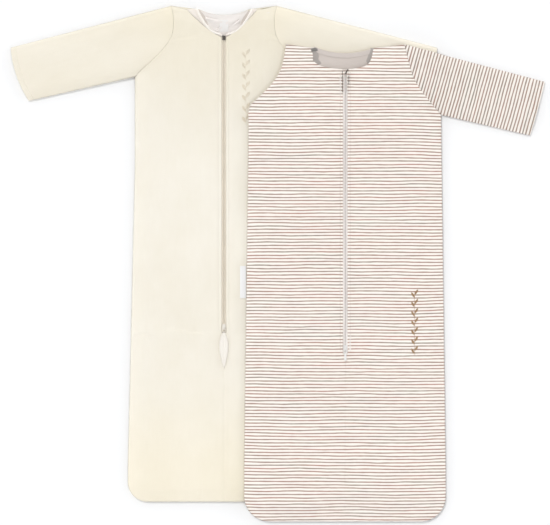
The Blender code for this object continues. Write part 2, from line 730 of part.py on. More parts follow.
# ---------------------------------------------------------------- zips
def section_prism(name, outline, axis, start, end):
    """A prism: an outline in the plane across X or Y, run along that axis."""
    bm = bmesh.new()
    if axis == "Y":
        ring = [bm.verts.new((u, start, v)) for u, v in outline]
        step = (0.0, end - start, 0.0)
    else:
        ring = [bm.verts.new((start, u, v)) for u, v in outline]
        step = (end - start, 0.0, 0.0)
    face = bm.faces.new(ring)
    made = bmesh.ops.extrude_face_region(bm, geom=[face])
    moved = [item for item in made["geom"] if isinstance(item, bmesh.types.BMVert)]
    bmesh.ops.translate(bm, vec=step, verts=moved)
    bmesh.ops.recalc_face_normals(bm, faces=bm.faces[:])
    mesh = bpy.data.meshes.new(name)
    bm.to_mesh(mesh)
    bm.free()
    return bpy.data.objects.new(name, mesh)


def pull_loop(name, x, y, z, half, length, slot, pivot):
    """A closed wire loop round the slider's bridge, reaching down along -Y."""
    corner = 0.0010
    turns = 3
    centres = [(half, 0.0, 0), (-half, 0.0, 1), (-half, -length, 2), (half, -length, 3)]
    points = []
    for cx, cy, quarter in centres:
        sx = -1 if cx > 0 else 1
        sy = -1 if cy == 0.0 else 1
        for i in range(turns):
            angle = pi / 2 * (quarter + i / (turns - 1))
            points.append((cx + sx * corner + corner * cos(angle),
                           cy + sy * corner + corner * sin(angle)))
    curve = bpy.data.curves.new(name, "CURVE")
    curve.dimensions = "3D"
    curve.bevel_depth = WIRE
    curve.bevel_resolution = 1
    spline = curve.splines.new("POLY")
    spline.points.add(len(points) - 1)
    for point, (px, py) in zip(spline.points, points):
        point.co = (x + px, y + py, z, 1.0)
    spline.use_cyclic_u = True
    return finish(bpy.data.objects.new(name, curve), slot, pivot)


def leaf_outline(x, root, length, half):
    """A leaf that hangs down from its root: short stalk, wide middle, pointed tip."""
    steps = 14
    stalk = 0.0028
    side = []
    for i in range(steps + 1):
        t = i / steps
        width = stalk + (half - stalk) * smooth(t / 0.38) if t < 0.38 else half * (
            1.0 - ((t - 0.38) / 0.62) ** 1.9)
        side.append((max(width, 0.0005), root - length * t))
    return [(x - w, y) for w, y in side] + [(x + w, y) for w, y in reversed(side)]


def tab_outline(x, root, length, half):
    """A short pull tab with a rounded free end."""
    steps = 6
    end = [(half * cos(pi * i / steps), -length + half - half * sin(pi * i / steps))
           for i in range(steps + 1)]
    outline = [(half * 0.7, 0.0)] + end + [(-half * 0.7, 0.0)]
    return [(x + px, root + py) for px, py in outline]


def zip_fastener(prefix, x, top, low, front, slider_y, slots):
    """Tapes, coils, box, pin, end stop, guard, slider and pull loop of one zip."""
    tape_slot, coil_slot, metal_slot, slider_slot = slots
    tape_high = front - TAPE_SINK
    tape_low = tape_high - TAPE_THICK
    coil_low, coil_high = front, front + COIL_HEIGHT
    coil_top = top - BOX_LENGTH - GAP
    for side, word in ((-1, "left"), (1, "right")):
        xs = sorted((x + side * TAPE_INNER, x + side * TAPE_OUTER))
        block(f"{prefix}_zip_{word}_tape", (xs[0], low - 0.006, tape_low),
              (xs[1], top - 0.001, tape_high), tape_slot)
        xs = sorted((x + side * COIL_INNER, x + side * COIL_OUTER))
        block(f"{prefix}_zip_{word}_coil", (xs[0], low, coil_low), (xs[1], coil_top, coil_high),
              coil_slot)
    box = block(f"{prefix}_zip_retainer_box", (x - BOX_HALF, top - BOX_LENGTH, coil_low),
                (x + BOX_HALF, top, coil_high + 0.0012), metal_slot)
    pin_x, pin_z = x - PIN_SET, coil_low + 0.0012
    bore = rod(f"{prefix}_bore_cutter", (pin_x, top - BOX_LENGTH - 0.002, pin_z),
               (pin_x, top + 0.002, pin_z), WIRE + 0.0004, metal_slot)
    cut_away(box, bore)
    rod(f"{prefix}_zip_insertion_pin", (pin_x, coil_top + 0.0002, pin_z),
        (pin_x, top + 0.0012, pin_z), WIRE, metal_slot)
    block(f"{prefix}_zip_end_stop", (x - COIL_OUTER, low - GAP - STOP_LENGTH, coil_low),
          (x + COIL_OUTER, low - GAP, coil_high + 0.0006), metal_slot, bevel=0.0004)
    under_high = tape_low - GAP
    under_low = under_high - UNDER_PLATE
    guard_high = under_low - GAP
    block(f"{prefix}_zip_guard", (x - GUARD_HALF, low - 0.010, guard_high - GUARD_THICK),
          (x + GUARD_HALF, top - 0.002, guard_high), tape_slot)

    plate_low = coil_high + GAP
    plate_high = plate_low + PLATE
    half = SLIDER_HALF
    outline = [(x - half, under_low), (x + half, under_low), (x + half, under_high),
               (x + WEB_HALF, under_high), (x + WEB_HALF, plate_low), (x + half, plate_low),
               (x + half, plate_high), (x - half, plate_high), (x - half, plate_low),
               (x - WEB_HALF, plate_low), (x - WEB_HALF, under_high), (x - half, under_high)]
    body = section_prism(f"{prefix}_zip_slider", outline, "Y", slider_y - SLIDER_LENGTH / 2,
                         slider_y + SLIDER_LENGTH / 2)
    finish(body, slider_slot)
    foot = plate_high - 0.0003
    gap, high = plate_high + ARCH_GAP, plate_high + ARCH_HIGH
    arch = [(-ARCH_FOOT, foot), (-ARCH_INSIDE, foot), (-ARCH_INSIDE, gap),
            (ARCH_INSIDE, gap), (ARCH_INSIDE, foot), (ARCH_FOOT, foot),
            (ARCH_FOOT, high), (-ARCH_FOOT, high)]
    bridge = section_prism(f"{prefix}_bridge_tool", [(slider_y + u, v) for u, v in arch], "X",
                           x - 0.0008, x + 0.0008)
    finish(bridge, slider_slot)
    join_on(body, bridge)
    pivot = (x, slider_y, plate_high + 0.0012)
    pull_loop(f"{prefix}_zip_pull_loop", *pivot, 0.0026, 0.0090, slider_slot, pivot)
    return pivot


def outer_zip():
    slots = ("tape_cream", "coil_cream", "dark_metal", "pale_metal")
    slider_y = OUTER_ZIP_LOW + 0.0100
    pivot = zip_fastener("outer", OUTER_X, OUTER_ZIP_TOP, OUTER_ZIP_LOW, FRONT_Z, slider_y, slots)
    leaf = leaf_outline(OUTER_X, slider_y - 0.0101, 0.0740, 0.0100)
    flat_piece("outer_zip_leaf_pull", leaf, pivot[2] - 0.0011, pivot[2] + 0.0011, "leaf_cloth",
               pivot)


def inner_zip():
    slots = ("tape_grey", "coil_grey", "pale_metal", "white_plastic")
    slider_y = INNER_ZIP_LOW + 0.0100
    pivot = zip_fastener("inner", INNER_X, INNER_ZIP_TOP, INNER_ZIP_LOW, INNER_FRONT_Z, slider_y,
                         slots)
    tab = tab_outline(INNER_X, slider_y - 0.0101, 0.0150, 0.0026)
    flat_piece("inner_zip_pull_tab", tab, pivot[2] - 0.0006, pivot[2] + 0.0006, "white_plastic",
               pivot)


# ---------------------------------------------------------------- trims
def sprig_outline(x, low, high, half):
    """A plain row of leaves up a stem, used as embroidery."""
    leaves = 6
    steps = leaves * 4
    side = []
    for i in range(steps + 1):
        t = i / steps
        side.append((0.0012 + (half - 0.0012) * abs(sin(pi * leaves * t)), lerp(low, high, t)))
    return [(x + w, y) for w, y in side] + [(x - w, y) for w, y in reversed(side)]


def embroideries():
    on_velour = FRONT_Z + SHELL + 0.0003
    flat_piece("outer_embroidery", sprig_outline(OUTER_X + 0.0450, 0.2840, 0.4380, 0.0080),
               on_velour, on_velour + 0.0003, "cream_thread")
    on_jersey = INNER_FRONT_Z + JERSEY + 0.0003
    flat_piece("inner_embroidery", sprig_outline(INNER_X + 0.1415, -0.1880, -0.0540, 0.0075),
               on_jersey, on_jersey + 0.0004, "brown_thread")


def side_label():
    level = DRAPE + 0.0004
    block("inner_side_label", (INNER_X - 0.2150, -0.0710, level),
          (INNER_X - 0.2026, -0.0050, level + 0.0008), "label")


outer_back()
outer_fronts()
outer_front_linings()
outer_sleeves()
outer_zip()
inner_back()
inner_fronts()
inner_right_sleeve()
inner_left_sleeve()
inner_zip()
embroideries()
side_label()
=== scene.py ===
"""A two-piece baby sleeping bag laid flat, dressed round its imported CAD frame.

A lined velour outer bag lies on its back with a striped jersey inner bag on
top of it, to one side. Every cloth panel is its own sheet with rolled edges,
seams, stitches and soft creases. Lengths are in metres, in the CAD's frame.
"""

from math import cos, pi, sin

import bpy
import numpy as np
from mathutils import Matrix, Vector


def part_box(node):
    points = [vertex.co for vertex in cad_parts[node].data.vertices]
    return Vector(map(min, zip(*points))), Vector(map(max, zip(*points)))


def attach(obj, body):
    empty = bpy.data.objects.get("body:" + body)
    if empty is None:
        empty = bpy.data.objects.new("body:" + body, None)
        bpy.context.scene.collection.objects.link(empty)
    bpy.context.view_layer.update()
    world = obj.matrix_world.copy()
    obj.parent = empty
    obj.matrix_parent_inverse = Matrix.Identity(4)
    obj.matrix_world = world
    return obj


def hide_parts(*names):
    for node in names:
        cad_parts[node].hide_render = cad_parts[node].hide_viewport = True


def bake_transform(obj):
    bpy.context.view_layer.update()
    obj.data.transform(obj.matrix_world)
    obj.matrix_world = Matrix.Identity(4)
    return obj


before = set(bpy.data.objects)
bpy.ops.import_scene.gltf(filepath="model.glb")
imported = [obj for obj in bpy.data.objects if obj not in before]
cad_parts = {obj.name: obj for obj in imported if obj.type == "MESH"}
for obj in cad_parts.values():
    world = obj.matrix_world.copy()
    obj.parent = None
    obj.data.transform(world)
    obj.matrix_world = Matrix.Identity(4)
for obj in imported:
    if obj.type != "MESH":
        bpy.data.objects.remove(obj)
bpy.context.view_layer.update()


def middle(node):
    low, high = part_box(node)
    return (low + high) / 2


def depth(node):
    """Lowest and highest height of a node."""
    low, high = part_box(node)
    return low.z, high.z


# ------------------------------------------------------------ places from the frame
OUTER_X = middle("outer_zip_slider").x
INNER_X = middle("inner_zip_slider").x
OUTER_BACK_TOP = depth("outer_back_panel")[1]
OUTER_FRONT_TOP = depth("outer_left_front_panel")[1]
INNER_FRONT_TOP = depth("inner_right_front_panel")[1]
OUTER_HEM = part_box("outer_back_panel")[0].y
INNER_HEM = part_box("inner_back_panel")[0].y
OUTER_ZIP = (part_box("outer_zip_left_coil")[0].y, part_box("outer_zip_retainer_box")[1].y)
INNER_ZIP = (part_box("inner_zip_left_coil")[0].y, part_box("inner_zip_retainer_box")[1].y)

# ------------------------------------------------------------ outer bag, beside its centre line
OUTER_ARMHOLE = [(0.1075, 0.5280), (0.1030, 0.4990), (0.1066, 0.4660), (0.1250, 0.4380),
                 (0.1517, 0.4110), (0.1825, 0.3820)]
OUTER_SHOULDER = (0.1075, 0.5280)
OUTER_NECK_OPEN = (0.0510, 0.5225)
OUTER_NECK_SEAM = (0.0767, 0.5207)
OUTER_NECK_OPEN_LOW = 0.4695
OUTER_NECK_SEAM_LOW = 0.4620
OUTER_BACK_NECK = (0.5094, 0.5209)       # back neck at its middle and at its sides
OUTER_SIDE = (0.1825, 0.1970)            # half width under the arms and at the hem
OUTER_FLARE = (0.200, -0.420)
OUTER_CORNER = 0.040
OUTER_CUFF = ((0.4370, 0.4420), (0.4000, 0.3330))
OUTER_BOW = 0.007
OUTER_CHANNEL = 0.0043                   # half of the gap between the fronts at the zip
OUTER_STITCH = 0.0062                    # topstitching from the edge of the front
VELOUR = 0.0024
VELOUR_EDGE = 0.0044                     # height of the side seam's fold

# ------------------------------------------------------------ inner bag, beside its centre line
INNER_ARMHOLE = [(0.1210, 0.4480), (0.1310, 0.4070), (0.1435, 0.3720), (0.1700, 0.3350),
                 (0.1970, 0.3040)]
INNER_FOLDED_EDGE = [(0.1210, 0.4480), (0.1240, 0.4270), (0.1300, 0.4010), (0.1410, 0.3790),
                     (0.1570, 0.3590), (0.1760, 0.3400), (0.1930, 0.3240), (0.1980, 0.3080)]
INNER_NECK = (0.0595, 0.4377)
INNER_NECK_LOW = 0.3970
INNER_BACK_NECK = (0.4295, 0.4415)
INNER_SIDE = (0.1975, 0.2065)
INNER_FLARE = (0.250, -0.420)
INNER_CORNER = 0.052
INNER_CUFF = ((0.4095, 0.3720), (0.3790, 0.2620))
INNER_CHANNEL = 0.0046
INNER_STITCH = 0.0055
INNER_BOW = 0.0010
JERSEY = 0.0012
STRIPE_PITCH = 0.0066
FINE = (0.0009, 0.0008)                  # thickness and edge roll of thin plain cloth
DRAPE = 0.0152                           # jersey laid over the outer bag
DRAPE_INSIDE = 0.018
DRAPE_WIDTH = 0.056
FOLDED_LIFT = 0.0036                     # lift of the inner back over its folded sleeve

HANDS = ((-1, "left"), (1, "right"))     # side of the centre line, and its name

# ------------------------------------------------------------ top heights of inner layers
OUTER_LINING_TOP = 0.0040
OUTER_BACK_FACING_TOP = 0.0062
OUTER_SHADED_TURNING_TOP = 0.0088
INNER_BACK_FACING_TOP = 0.0182
INNER_BINDING_TOP = 0.0191
INNER_SHADED_TURNING_TOP = 0.0196
INNER_CORNER_SHADOW_TOP = 0.0208                # turned cloth in the left corner of the neck, dark as painted shadow
FLAP_TOP = 0.0240
FLAP_STITCH_LEVEL = 0.0247
BAR_TACK_LEVEL = 0.0260

# ------------------------------------------------------------ fold line of the inner bag's folded sleeve
INNER_FOLD = ((0.1240, 0.4470), (0.1970, 0.3150))


# ------------------------------------------------------------ shaping
def smooth(t):
    t = np.clip(t, 0.0, 1.0)
    return t * t * (3.0 - 2.0 * t)


def bulge(t):
    """Quarter of an ellipse: 0 at 0, steep at first, level at 1."""
    t = np.clip(t, 0.0, 1.0)
    return np.sqrt(1.0 - (1.0 - t) ** 2)


def lerp(a, b, t):
    return a + (b - a) * t


def graded(count, strength=0.85):
    """Shares from 0 to 1, close together at both ends."""
    t = np.linspace(0.0, 1.0, count)
    return t - strength * np.sin(2 * pi * t) / (2 * pi)


def curve_through(points, count):
    """A smooth curve through points, as an array of count points."""
    p = np.array([points[0]] + list(points) + [points[-1]], float)
    p[0] = 2 * p[1] - p[2]
    p[-1] = 2 * p[-2] - p[-3]
    spans = len(points) - 1
    at = np.linspace(0, spans, count)
    k = np.minimum(at.astype(int), spans - 1)
    t = (at - k)[:, None]
    a, b, c, d = p[k], p[k + 1], p[k + 2], p[k + 3]
    return 0.5 * (2 * b + (c - a) * t + (2 * a - 5 * b + 4 * c - d) * t ** 2
                  + (3 * b - a - 3 * c + d) * t ** 3)


def along(path, share):
    """Points at shares of a path's length."""
    steps = np.r_[0.0, np.cumsum(np.hypot(*np.diff(path, axis=0).T))]
    at = np.asarray(share) * steps[-1]
    return np.stack([np.interp(at, steps, path[:, 0]), np.interp(at, steps, path[:, 1])], -1)


def spread(low, high, count, spots, gain=8.0):
    """Positions from low to high, closer together near each (place, reach)."""
    fine = np.linspace(low, high, 4000)
    density = np.ones_like(fine)
    for spot, reach in spots:
        density += gain * ridge(fine - spot, reach)
    total = np.r_[0.0, np.cumsum((density[1:] + density[:-1]) / 2)]
    return np.interp(np.linspace(0, total[-1], count), total, fine)


def shares(count, reach, low=0.0):
    """Shares from low to 1, closer together within reach of both ends."""
    return spread(low, 1.0, count, [(low, reach), (1.0, reach)])


def band_grid(rows, row_reach, cols, col_reach):
    """Shares along a band as a column, and across it as a row."""
    return shares(rows, row_reach)[:, None], shares(cols, col_reach)[None, :]


def ridge(off, width):
    """A smooth ridge or groove of height 1 where off is 0."""
    return np.exp(-(off / width) ** 2)


def distance(x, y, path):
    """Distance of each point from a path."""
    nearest = np.full(np.shape(x), 1e9)
    for (ax, ay), (bx, by) in zip(path[:-1], path[1:]):
        dx, dy = bx - ax, by - ay
        t = np.clip(((x - ax) * dx + (y - ay) * dy) / (dx * dx + dy * dy + 1e-18), 0, 1)
        nearest = np.minimum(nearest, np.hypot(x - ax - dx * t, y - ay - dy * t))
    return nearest


def inside(x, y, ring):
    """True where a point lies inside a closed outline."""
    found = np.zeros(np.shape(x), bool)
    for (ax, ay), (bx, by) in zip(ring, np.roll(ring, -1, axis=0)):
        crosses = (ay > y) != (by > y)
        with np.errstate(divide="ignore", invalid="ignore"):
            at = ax + (bx - ax) * (y - ay) / (by - ay)
        found ^= crosses & (x < at)
    return found


def signed(x, y, ring):
    """Distance from a closed outline, negative inside it."""
    away = distance(x, y, np.vstack([ring, ring[:1]]))
    return np.where(inside(x, y, ring), -away, away)


def lattice(ix, iy, seed):
    n = (ix * 374761393 + iy * 668265263 + seed * 362437) & 0x7FFFFFFF
    n = ((n ^ (n >> 13)) * 1274126177) & 0x7FFFFFFF
    return ((n ^ (n >> 16)) & 0xFFFF) / 32767.5 - 1.0


def noise(x, y, seed):
    """Smooth noise from -1 to 1, with features one unit across."""
    ix, iy = np.floor(x).astype(np.int64), np.floor(y).astype(np.int64)
    u, v = smooth(x - ix), smooth(y - iy)
    low = lerp(lattice(ix, iy, seed), lattice(ix + 1, iy, seed), u)
    high = lerp(lattice(ix, iy + 1, seed), lattice(ix + 1, iy + 1, seed), u)
    return lerp(low, high, v)


def creases(x, y, seed, long, short, turn=0.0):
    """Noise drawn out along a direction, like soft creases in cloth."""
    along_it = x * cos(turn) + y * sin(turn)
    across = y * cos(turn) - x * sin(turn)
    bend = 0.35 * noise(along_it / long, across / long, seed + 7)
    return noise(along_it / long, across / short + bend, seed)


def fold_ridge(x, y, start, end, width):
    """A soft ridge along a line, fading out towards its end."""
    dx, dy = end[0] - start[0], end[1] - start[1]
    t = np.clip(((x - start[0]) * dx + (y - start[1]) * dy) / (dx * dx + dy * dy), 0, 1)
    off = np.hypot(x - start[0] - dx * t, y - start[1] - dy * t)
    return ridge(off, width) * (1.0 - t) ** 1.5


# ------------------------------------------------------------ outlines
def half_width(y, side, flare, hem, corner):
    """Half width of a bag under its arms, with a round bottom corner."""
    width = lerp(side[0], side[1], np.clip((flare[0] - y) / (flare[0] - flare[1]), 0, 1))
    rise = np.clip(y - hem, 0.0, corner)
    return width - corner + np.sqrt(np.maximum(corner ** 2 - (corner - rise) ** 2, 0.0))


def armhole_x(curve, y):
    """Where an armhole seam is at height y."""
    order = np.argsort(curve[:, 1])
    return np.interp(y, curve[order, 1], curve[order, 0])


OUTER_ARM_CURVE = curve_through(OUTER_ARMHOLE, 60)
INNER_ARM_CURVE = curve_through(INNER_ARMHOLE, 60)
INNER_FOLDED_CURVE = curve_through(INNER_FOLDED_EDGE, 60)


def outer_end(y):
    below = half_width(y, OUTER_SIDE, OUTER_FLARE, OUTER_HEM, OUTER_CORNER)
    return np.where(y > OUTER_ARMHOLE[-1][1], armhole_x(OUTER_ARM_CURVE, y), below)


def inner_end(y, curve=INNER_ARM_CURVE):
    below = half_width(y, INNER_SIDE, INNER_FLARE, INNER_HEM, INNER_CORNER)
    join = smooth((y - (curve[-1, 1] - 0.030)) / 0.030)
    above = armhole_x(curve, y)
    return np.where(y > curve[-1, 1], above, lerp(below, curve[-1, 0], join))


def side_path(end, hem, top):
    """Middle of the hem round the corner and up the side seam."""
    ys = hem + (top - hem) * graded(90, 0.97)
    return np.vstack([[0.0, hem], np.stack([end(ys), ys], -1)])


OUTER_SIDE_PATH = side_path(outer_end, OUTER_HEM, OUTER_ARMHOLE[-1][1])
INNER_SIDE_PATH = side_path(inner_end, INNER_HEM, INNER_ARMHOLE[-1][1])
OUTER_SHOULDER_PATH = np.array([OUTER_NECK_OPEN, OUTER_NECK_SEAM, OUTER_SHOULDER])
INNER_SHOULDER_PATH = np.array([INNER_NECK, INNER_ARMHOLE[0]])


def outer_footprint():
    right = np.vstack([OUTER_SIDE_PATH, OUTER_CUFF[1], OUTER_CUFF[0], OUTER_SHOULDER])
    left = right[::-1] * [-1, 1]
    return np.vstack([right, left]) + [OUTER_X, 0.0]


FOOTPRINT = outer_footprint()


def mirrored_arm(points, fold):
    """Points of a spread arm, turned over to where it lies folded back."""
    a, b = np.array(fold[0]), np.array(fold[1])
    line = (b - a) / np.hypot(*(b - a))
    arm = np.array(points) - a
    return a + 2 * (arm @ line)[..., None] * line - arm


LEFT_FOLD = ((-INNER_FOLD[0][0], INNER_FOLD[0][1]), (-INNER_FOLD[1][0], INNER_FOLD[1][1]))
FOLDED_CUFF = mirrored_arm([(-x, y) for x, y in INNER_CUFF], LEFT_FOLD)
FOLDED_AREA = np.vstack([LEFT_FOLD, FOLDED_CUFF[::-1]]) + [INNER_X, 0.0]


def drape(x, y):
    """Height at which jersey laid over the outer bag comes to rest."""
    return DRAPE * (1.0 - smooth((signed(x, y, FOOTPRINT) + DRAPE_INSIDE) / DRAPE_WIDTH))


def inner_base(x, y):
    """Underside of the inner bag, lifted where its sleeve is folded under it."""
    lift = FOLDED_LIFT * (1.0 - smooth((signed(x, y, FOLDED_AREA) - 0.004) / 0.030))
    return drape(x, y) + lift


# ------------------------------------------------------------ heights
def outer_creases(x, y):
    """Soft relief of the lined velour, from its loft and from being folded away."""
    relief = 0.0009 * creases(x, y, 3, 0.30, 0.090, 0.35)
    relief += 0.0006 * creases(x, y, 11, 0.16, 0.050, 1.35)
    relief += 0.0003 * noise(x / 0.022, y / 0.022, 5)
    for rise, start, end, width in ((0.0010, (0.178, 0.372), (0.100, 0.330), 0.011),
                                    (-0.0016, (0.182, 0.386), (0.118, 0.425), 0.009),
                                    (0.0009, (0.165, 0.405), (0.090, 0.380), 0.013)):
        relief += rise * fold_ridge(x, y, start, end, width)
    return relief


def edge_profile(away, steep, wide, share=0.55):
    """Height share at a distance from a seam: a steep roll and then a slow rise."""
    return share * bulge(away / steep) + (1.0 - share) * smooth(away / wide)


def outer_top(x, y, side):
    """Top surface of the outer front at x beside its centre line."""
    away = np.minimum(distance(x, y, OUTER_SIDE_PATH), distance(x, y, OUTER_SHOULDER_PATH))
    height = lerp(VELOUR_EDGE, OUTER_FRONT_TOP, edge_profile(away, 0.009, 0.030))
    ripple = outer_creases(x, y + 0.37 * (side > 0))
    return height + ripple * smooth(away / 0.020)


def inner_creases(x, y):
    """Fine creases of the thin jersey, mostly across the bag."""
    relief = 0.0011 * creases(x, y, 21, 0.34, 0.120, 0.12)
    relief += 0.0006 * creases(x, y, 27, 0.20, 0.045, 1.15)
    relief += 0.0003 * noise(x / 0.018, y / 0.018, 8)
    for rise, start, end, width in ((0.0012, (0.190, 0.305), (0.105, 0.270), 0.010),
                                    (0.0010, (0.175, 0.330), (0.085, 0.330), 0.009),
                                    (0.0008, (0.150, 0.365), (0.080, 0.385), 0.008)):
        relief += rise * fold_ridge(x, y, start, end, width)
    return relief


def inner_top(x, y, side, arm_curve):
    """Top surface of the inner front at x beside its centre line."""
    away = np.minimum(distance(x, y, INNER_SIDE_PATH), distance(x, y, INNER_SHOULDER_PATH))
    if side < 0:
        away = np.minimum(away, distance(x, y, arm_curve))
    ground = inner_base(INNER_X + side * x, y)
    lofted = lerp(0.062, 0.022, np.clip(ground / DRAPE, 0, 1))
    low = ground + 0.0042
    rise = edge_profile(away, 0.005, 1.0, 1.0) * 0.22 + 0.78 * smooth(away / lofted)
    ripple = inner_creases(x, y + 0.53 * (side > 0))
    return lerp(low, INNER_FRONT_TOP - 0.0004, rise) + ripple * smooth(away / 0.020)


# ------------------------------------------------------------ meshes
sewn_on = {}                             # narrow pieces sewn on a sheet, by its name


def dress(obj, material, slot, body, *nodes):
    """Material, finish slot (not used), body and the CAD nodes that a piece stands for."""
    obj.data.materials.clear()
    obj.data.materials.append(material)
    if body:
        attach(obj, body)
    if nodes:
        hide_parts(*nodes)
    return obj


# ------------------------------------------------------------ materials
def new_material(name, colour, roughness, sheen=0.0):
    """A Principled material: its node tree, its shader and itself."""
    made = bpy.data.materials.new(name)
    made.use_nodes = True
    shader = made.node_tree.nodes["Principled BSDF"]
    shader.inputs["Base Color"].default_value = (*colour, 1.0)
    shader.inputs["Roughness"].default_value = roughness
    shader.inputs["Sheen Weight"].default_value = sheen
    shader.inputs["Sheen Roughness"].default_value = 0.45
    shader.inputs["Specular IOR Level"].default_value = 0.25 if sheen else 0.5
    return made, made.node_tree, shader


def feed(tree, socket, value):
    """Give an input socket a value, or a link from another socket."""
    if isinstance(value, bpy.types.NodeSocket):
        tree.links.new(value, socket)
    else:
        socket.default_value = value


def node(tree, kind, settings=(), **inputs):
    """A node with its settings, and its inputs by name, as values or sockets."""
    made = tree.nodes.new(kind)
    for key, value in dict(settings).items():
        setattr(made, key, value)
    for key, value in inputs.items():
        feed(tree, made.inputs[key.replace("_", " ")], value)
    return made


def maths(tree, operation, *values):
    made = tree.nodes.new("ShaderNodeMath")
    made.operation = operation
    for socket, value in zip(made.inputs, values):
        feed(tree, socket, value)
    return made.outputs[0]


def blend_colour(tree, factor, first, second, kind="MIX"):
    made = tree.nodes.new("ShaderNodeMix")
    made.data_type = "RGBA"
    made.blend_type = kind
    feed(tree, made.inputs[0], factor)
    for key, value in ((6, first), (7, second)):
        feed(tree, made.inputs[key], (*value, 1.0) if isinstance(value, tuple) else value)
    return made.outputs[2]


def place(tree, scale, source="cloth"):
    """Cloth coordinates in metres, or an object's own, stretched by a scale."""
    if source == "cloth":
        socket = node(tree, "ShaderNodeUVMap", {"uv_map": "cloth"}).outputs["UV"]
    else:
        socket = tree.nodes.new("ShaderNodeTexCoord").outputs["Object"]
    return node(tree, "ShaderNodeMapping", Vector=socket, Scale=scale).outputs["Vector"]


def grain(tree, vector, detail=2.0, rough=0.5, scale=1.0):
    """Noise over a coordinate, from 0 to 1."""
    return node(tree, "ShaderNodeTexNoise", Vector=vector, Scale=scale, Detail=detail,
                Roughness=rough).outputs["Fac"]


def finish(made, tree, shader, colour, uneven, amount, least, layers):
    """Join colour, uneven roughness and stacked bumps to a shader, and give its material.

    Each layer is a height socket with its depth and strength.
    """
    tree.links.new(colour, shader.inputs["Base Color"])
    rough = maths(tree, "MULTIPLY_ADD", uneven, amount, least)
    tree.links.new(rough, shader.inputs["Roughness"])
    normal = None
    for height, deep, strength in layers:
        inputs = {"Height": height, "Distance": deep, "Strength": strength}
        if normal:
            inputs["Normal"] = normal
        normal = node(tree, "ShaderNodeBump", **inputs).outputs["Normal"]
    tree.links.new(normal, shader.inputs["Normal"])
    return made


def ramp(tree, value, low, high, at_low, at_high):
    """A smooth change from at_low to at_high as a value goes from low to high."""
    return node(tree, "ShaderNodeMapRange", {"interpolation_type": "SMOOTHSTEP"}, Value=value,
                From_Min=low, From_Max=high, To_Min=at_low, To_Max=at_high).outputs["Result"]


def tinted(tree, colour, tint):
    """A colour multiplied by another colour or by a shade."""
    return blend_colour(tree, 1.0, colour, tint, "MULTIPLY")


def rim_shade(tree, lowest):
    """Painted shade: darker where the cloth turns down at its edges and seams."""
    facing = node(tree, "ShaderNodeSeparateXYZ",
                  Vector=tree.nodes.new("ShaderNodeNewGeometry").outputs["Normal"]).outputs["Z"]
    return ramp(tree, maths(tree, "ABSOLUTE", facing), 0.20, 0.97, lowest, 1.0)


def velour(name, level, shaded, tint=(1.0, 1.0, 1.0)):
    """Short-pile cream velour: brushed patches, fine pile and a soft sheen.

    level is the cloth's brightness, and shaded how much darker painted shade makes its upper end,
    towards the shoulders.
    """
    made, tree, shader = new_material(name, (0.86, 0.81, 0.69), 0.92, sheen=0.30)
    patches = grain(tree, place(tree, (7.0, 4.5, 1.0)), 4.0, 0.6)
    brushed = grain(tree, place(tree, (160.0, 28.0, 1.0)), 3.0, 0.6)
    pile = grain(tree, place(tree, (1500.0, 1500.0, 1.0)), 2.0, 0.7)
    colour = blend_colour(tree, maths(tree, "MULTIPLY_ADD", patches, 2.4, -0.7),
                          (0.858, 0.806, 0.690), (0.912, 0.868, 0.776))
    colour = blend_colour(tree, maths(tree, "MULTIPLY", brushed, 0.22), colour,
                          (0.80, 0.74, 0.60))
    plain = place(tree, (1.0, 1.0, 1.0))
    along_bag = node(tree, "ShaderNodeSeparateXYZ", Vector=plain).outputs["Y"]
    # painted shade: darker towards the upper end of the bag, at the shoulders
    upper = ramp(tree, along_bag, 0.22, 0.50, level, level - shaded)
    shade = maths(tree, "MULTIPLY", maths(tree, "MULTIPLY_ADD", pile, 0.16, 0.92), upper)
    # the pile's own uneven tone, times painted shade at the shoulders and where the cloth turns
    # down at its rims
    colour = tinted(tree, colour, maths(tree, "MULTIPLY", shade, rim_shade(tree, 0.64)))
    colour = tinted(tree, colour, tint)
    # yellower towards the hem; towards the shoulders this yellow tints the painted shade there
    ends = maths(tree, "MAXIMUM", ramp(tree, along_bag, -0.20, -0.45, 0.0, 1.0),
                 ramp(tree, along_bag, 0.26, 0.48, 0.0, 0.9))
    colour = blend_colour(tree, ends, colour, tinted(tree, colour, (1.02, 1.0, 0.94)))
    return finish(made, tree, shader, colour, pile, 0.16, 0.82,
                  [(brushed, 0.0010, 0.30), (pile, 0.0005, 0.55)])


def knit(name, colour, darker, fine=1100.0):
    """Plain knitted cloth: upright columns of stitches and uneven yarn."""
    made, tree, shader = new_material(name, colour, 0.88, sheen=0.12)
    columns = grain(tree, place(tree, (fine, fine * 0.35, 1.0)), 1.0, 0.5)
    yarn = grain(tree, place(tree, (60.0, 420.0, 1.0)), 3.0, 0.6)
    patches = grain(tree, place(tree, (9.0, 9.0, 1.0)), 2.0, 0.5)
    tone = maths(tree, "MULTIPLY_ADD", yarn, 0.7, maths(tree, "MULTIPLY", patches, 0.5))
    mixed = blend_colour(tree, maths(tree, "SUBTRACT", tone, 0.15), colour, darker)
    return finish(made, tree, shader, mixed, yarn, 0.15, 0.80,
                  [(yarn, 0.0006, 0.20), (columns, 0.0004, 0.45)])


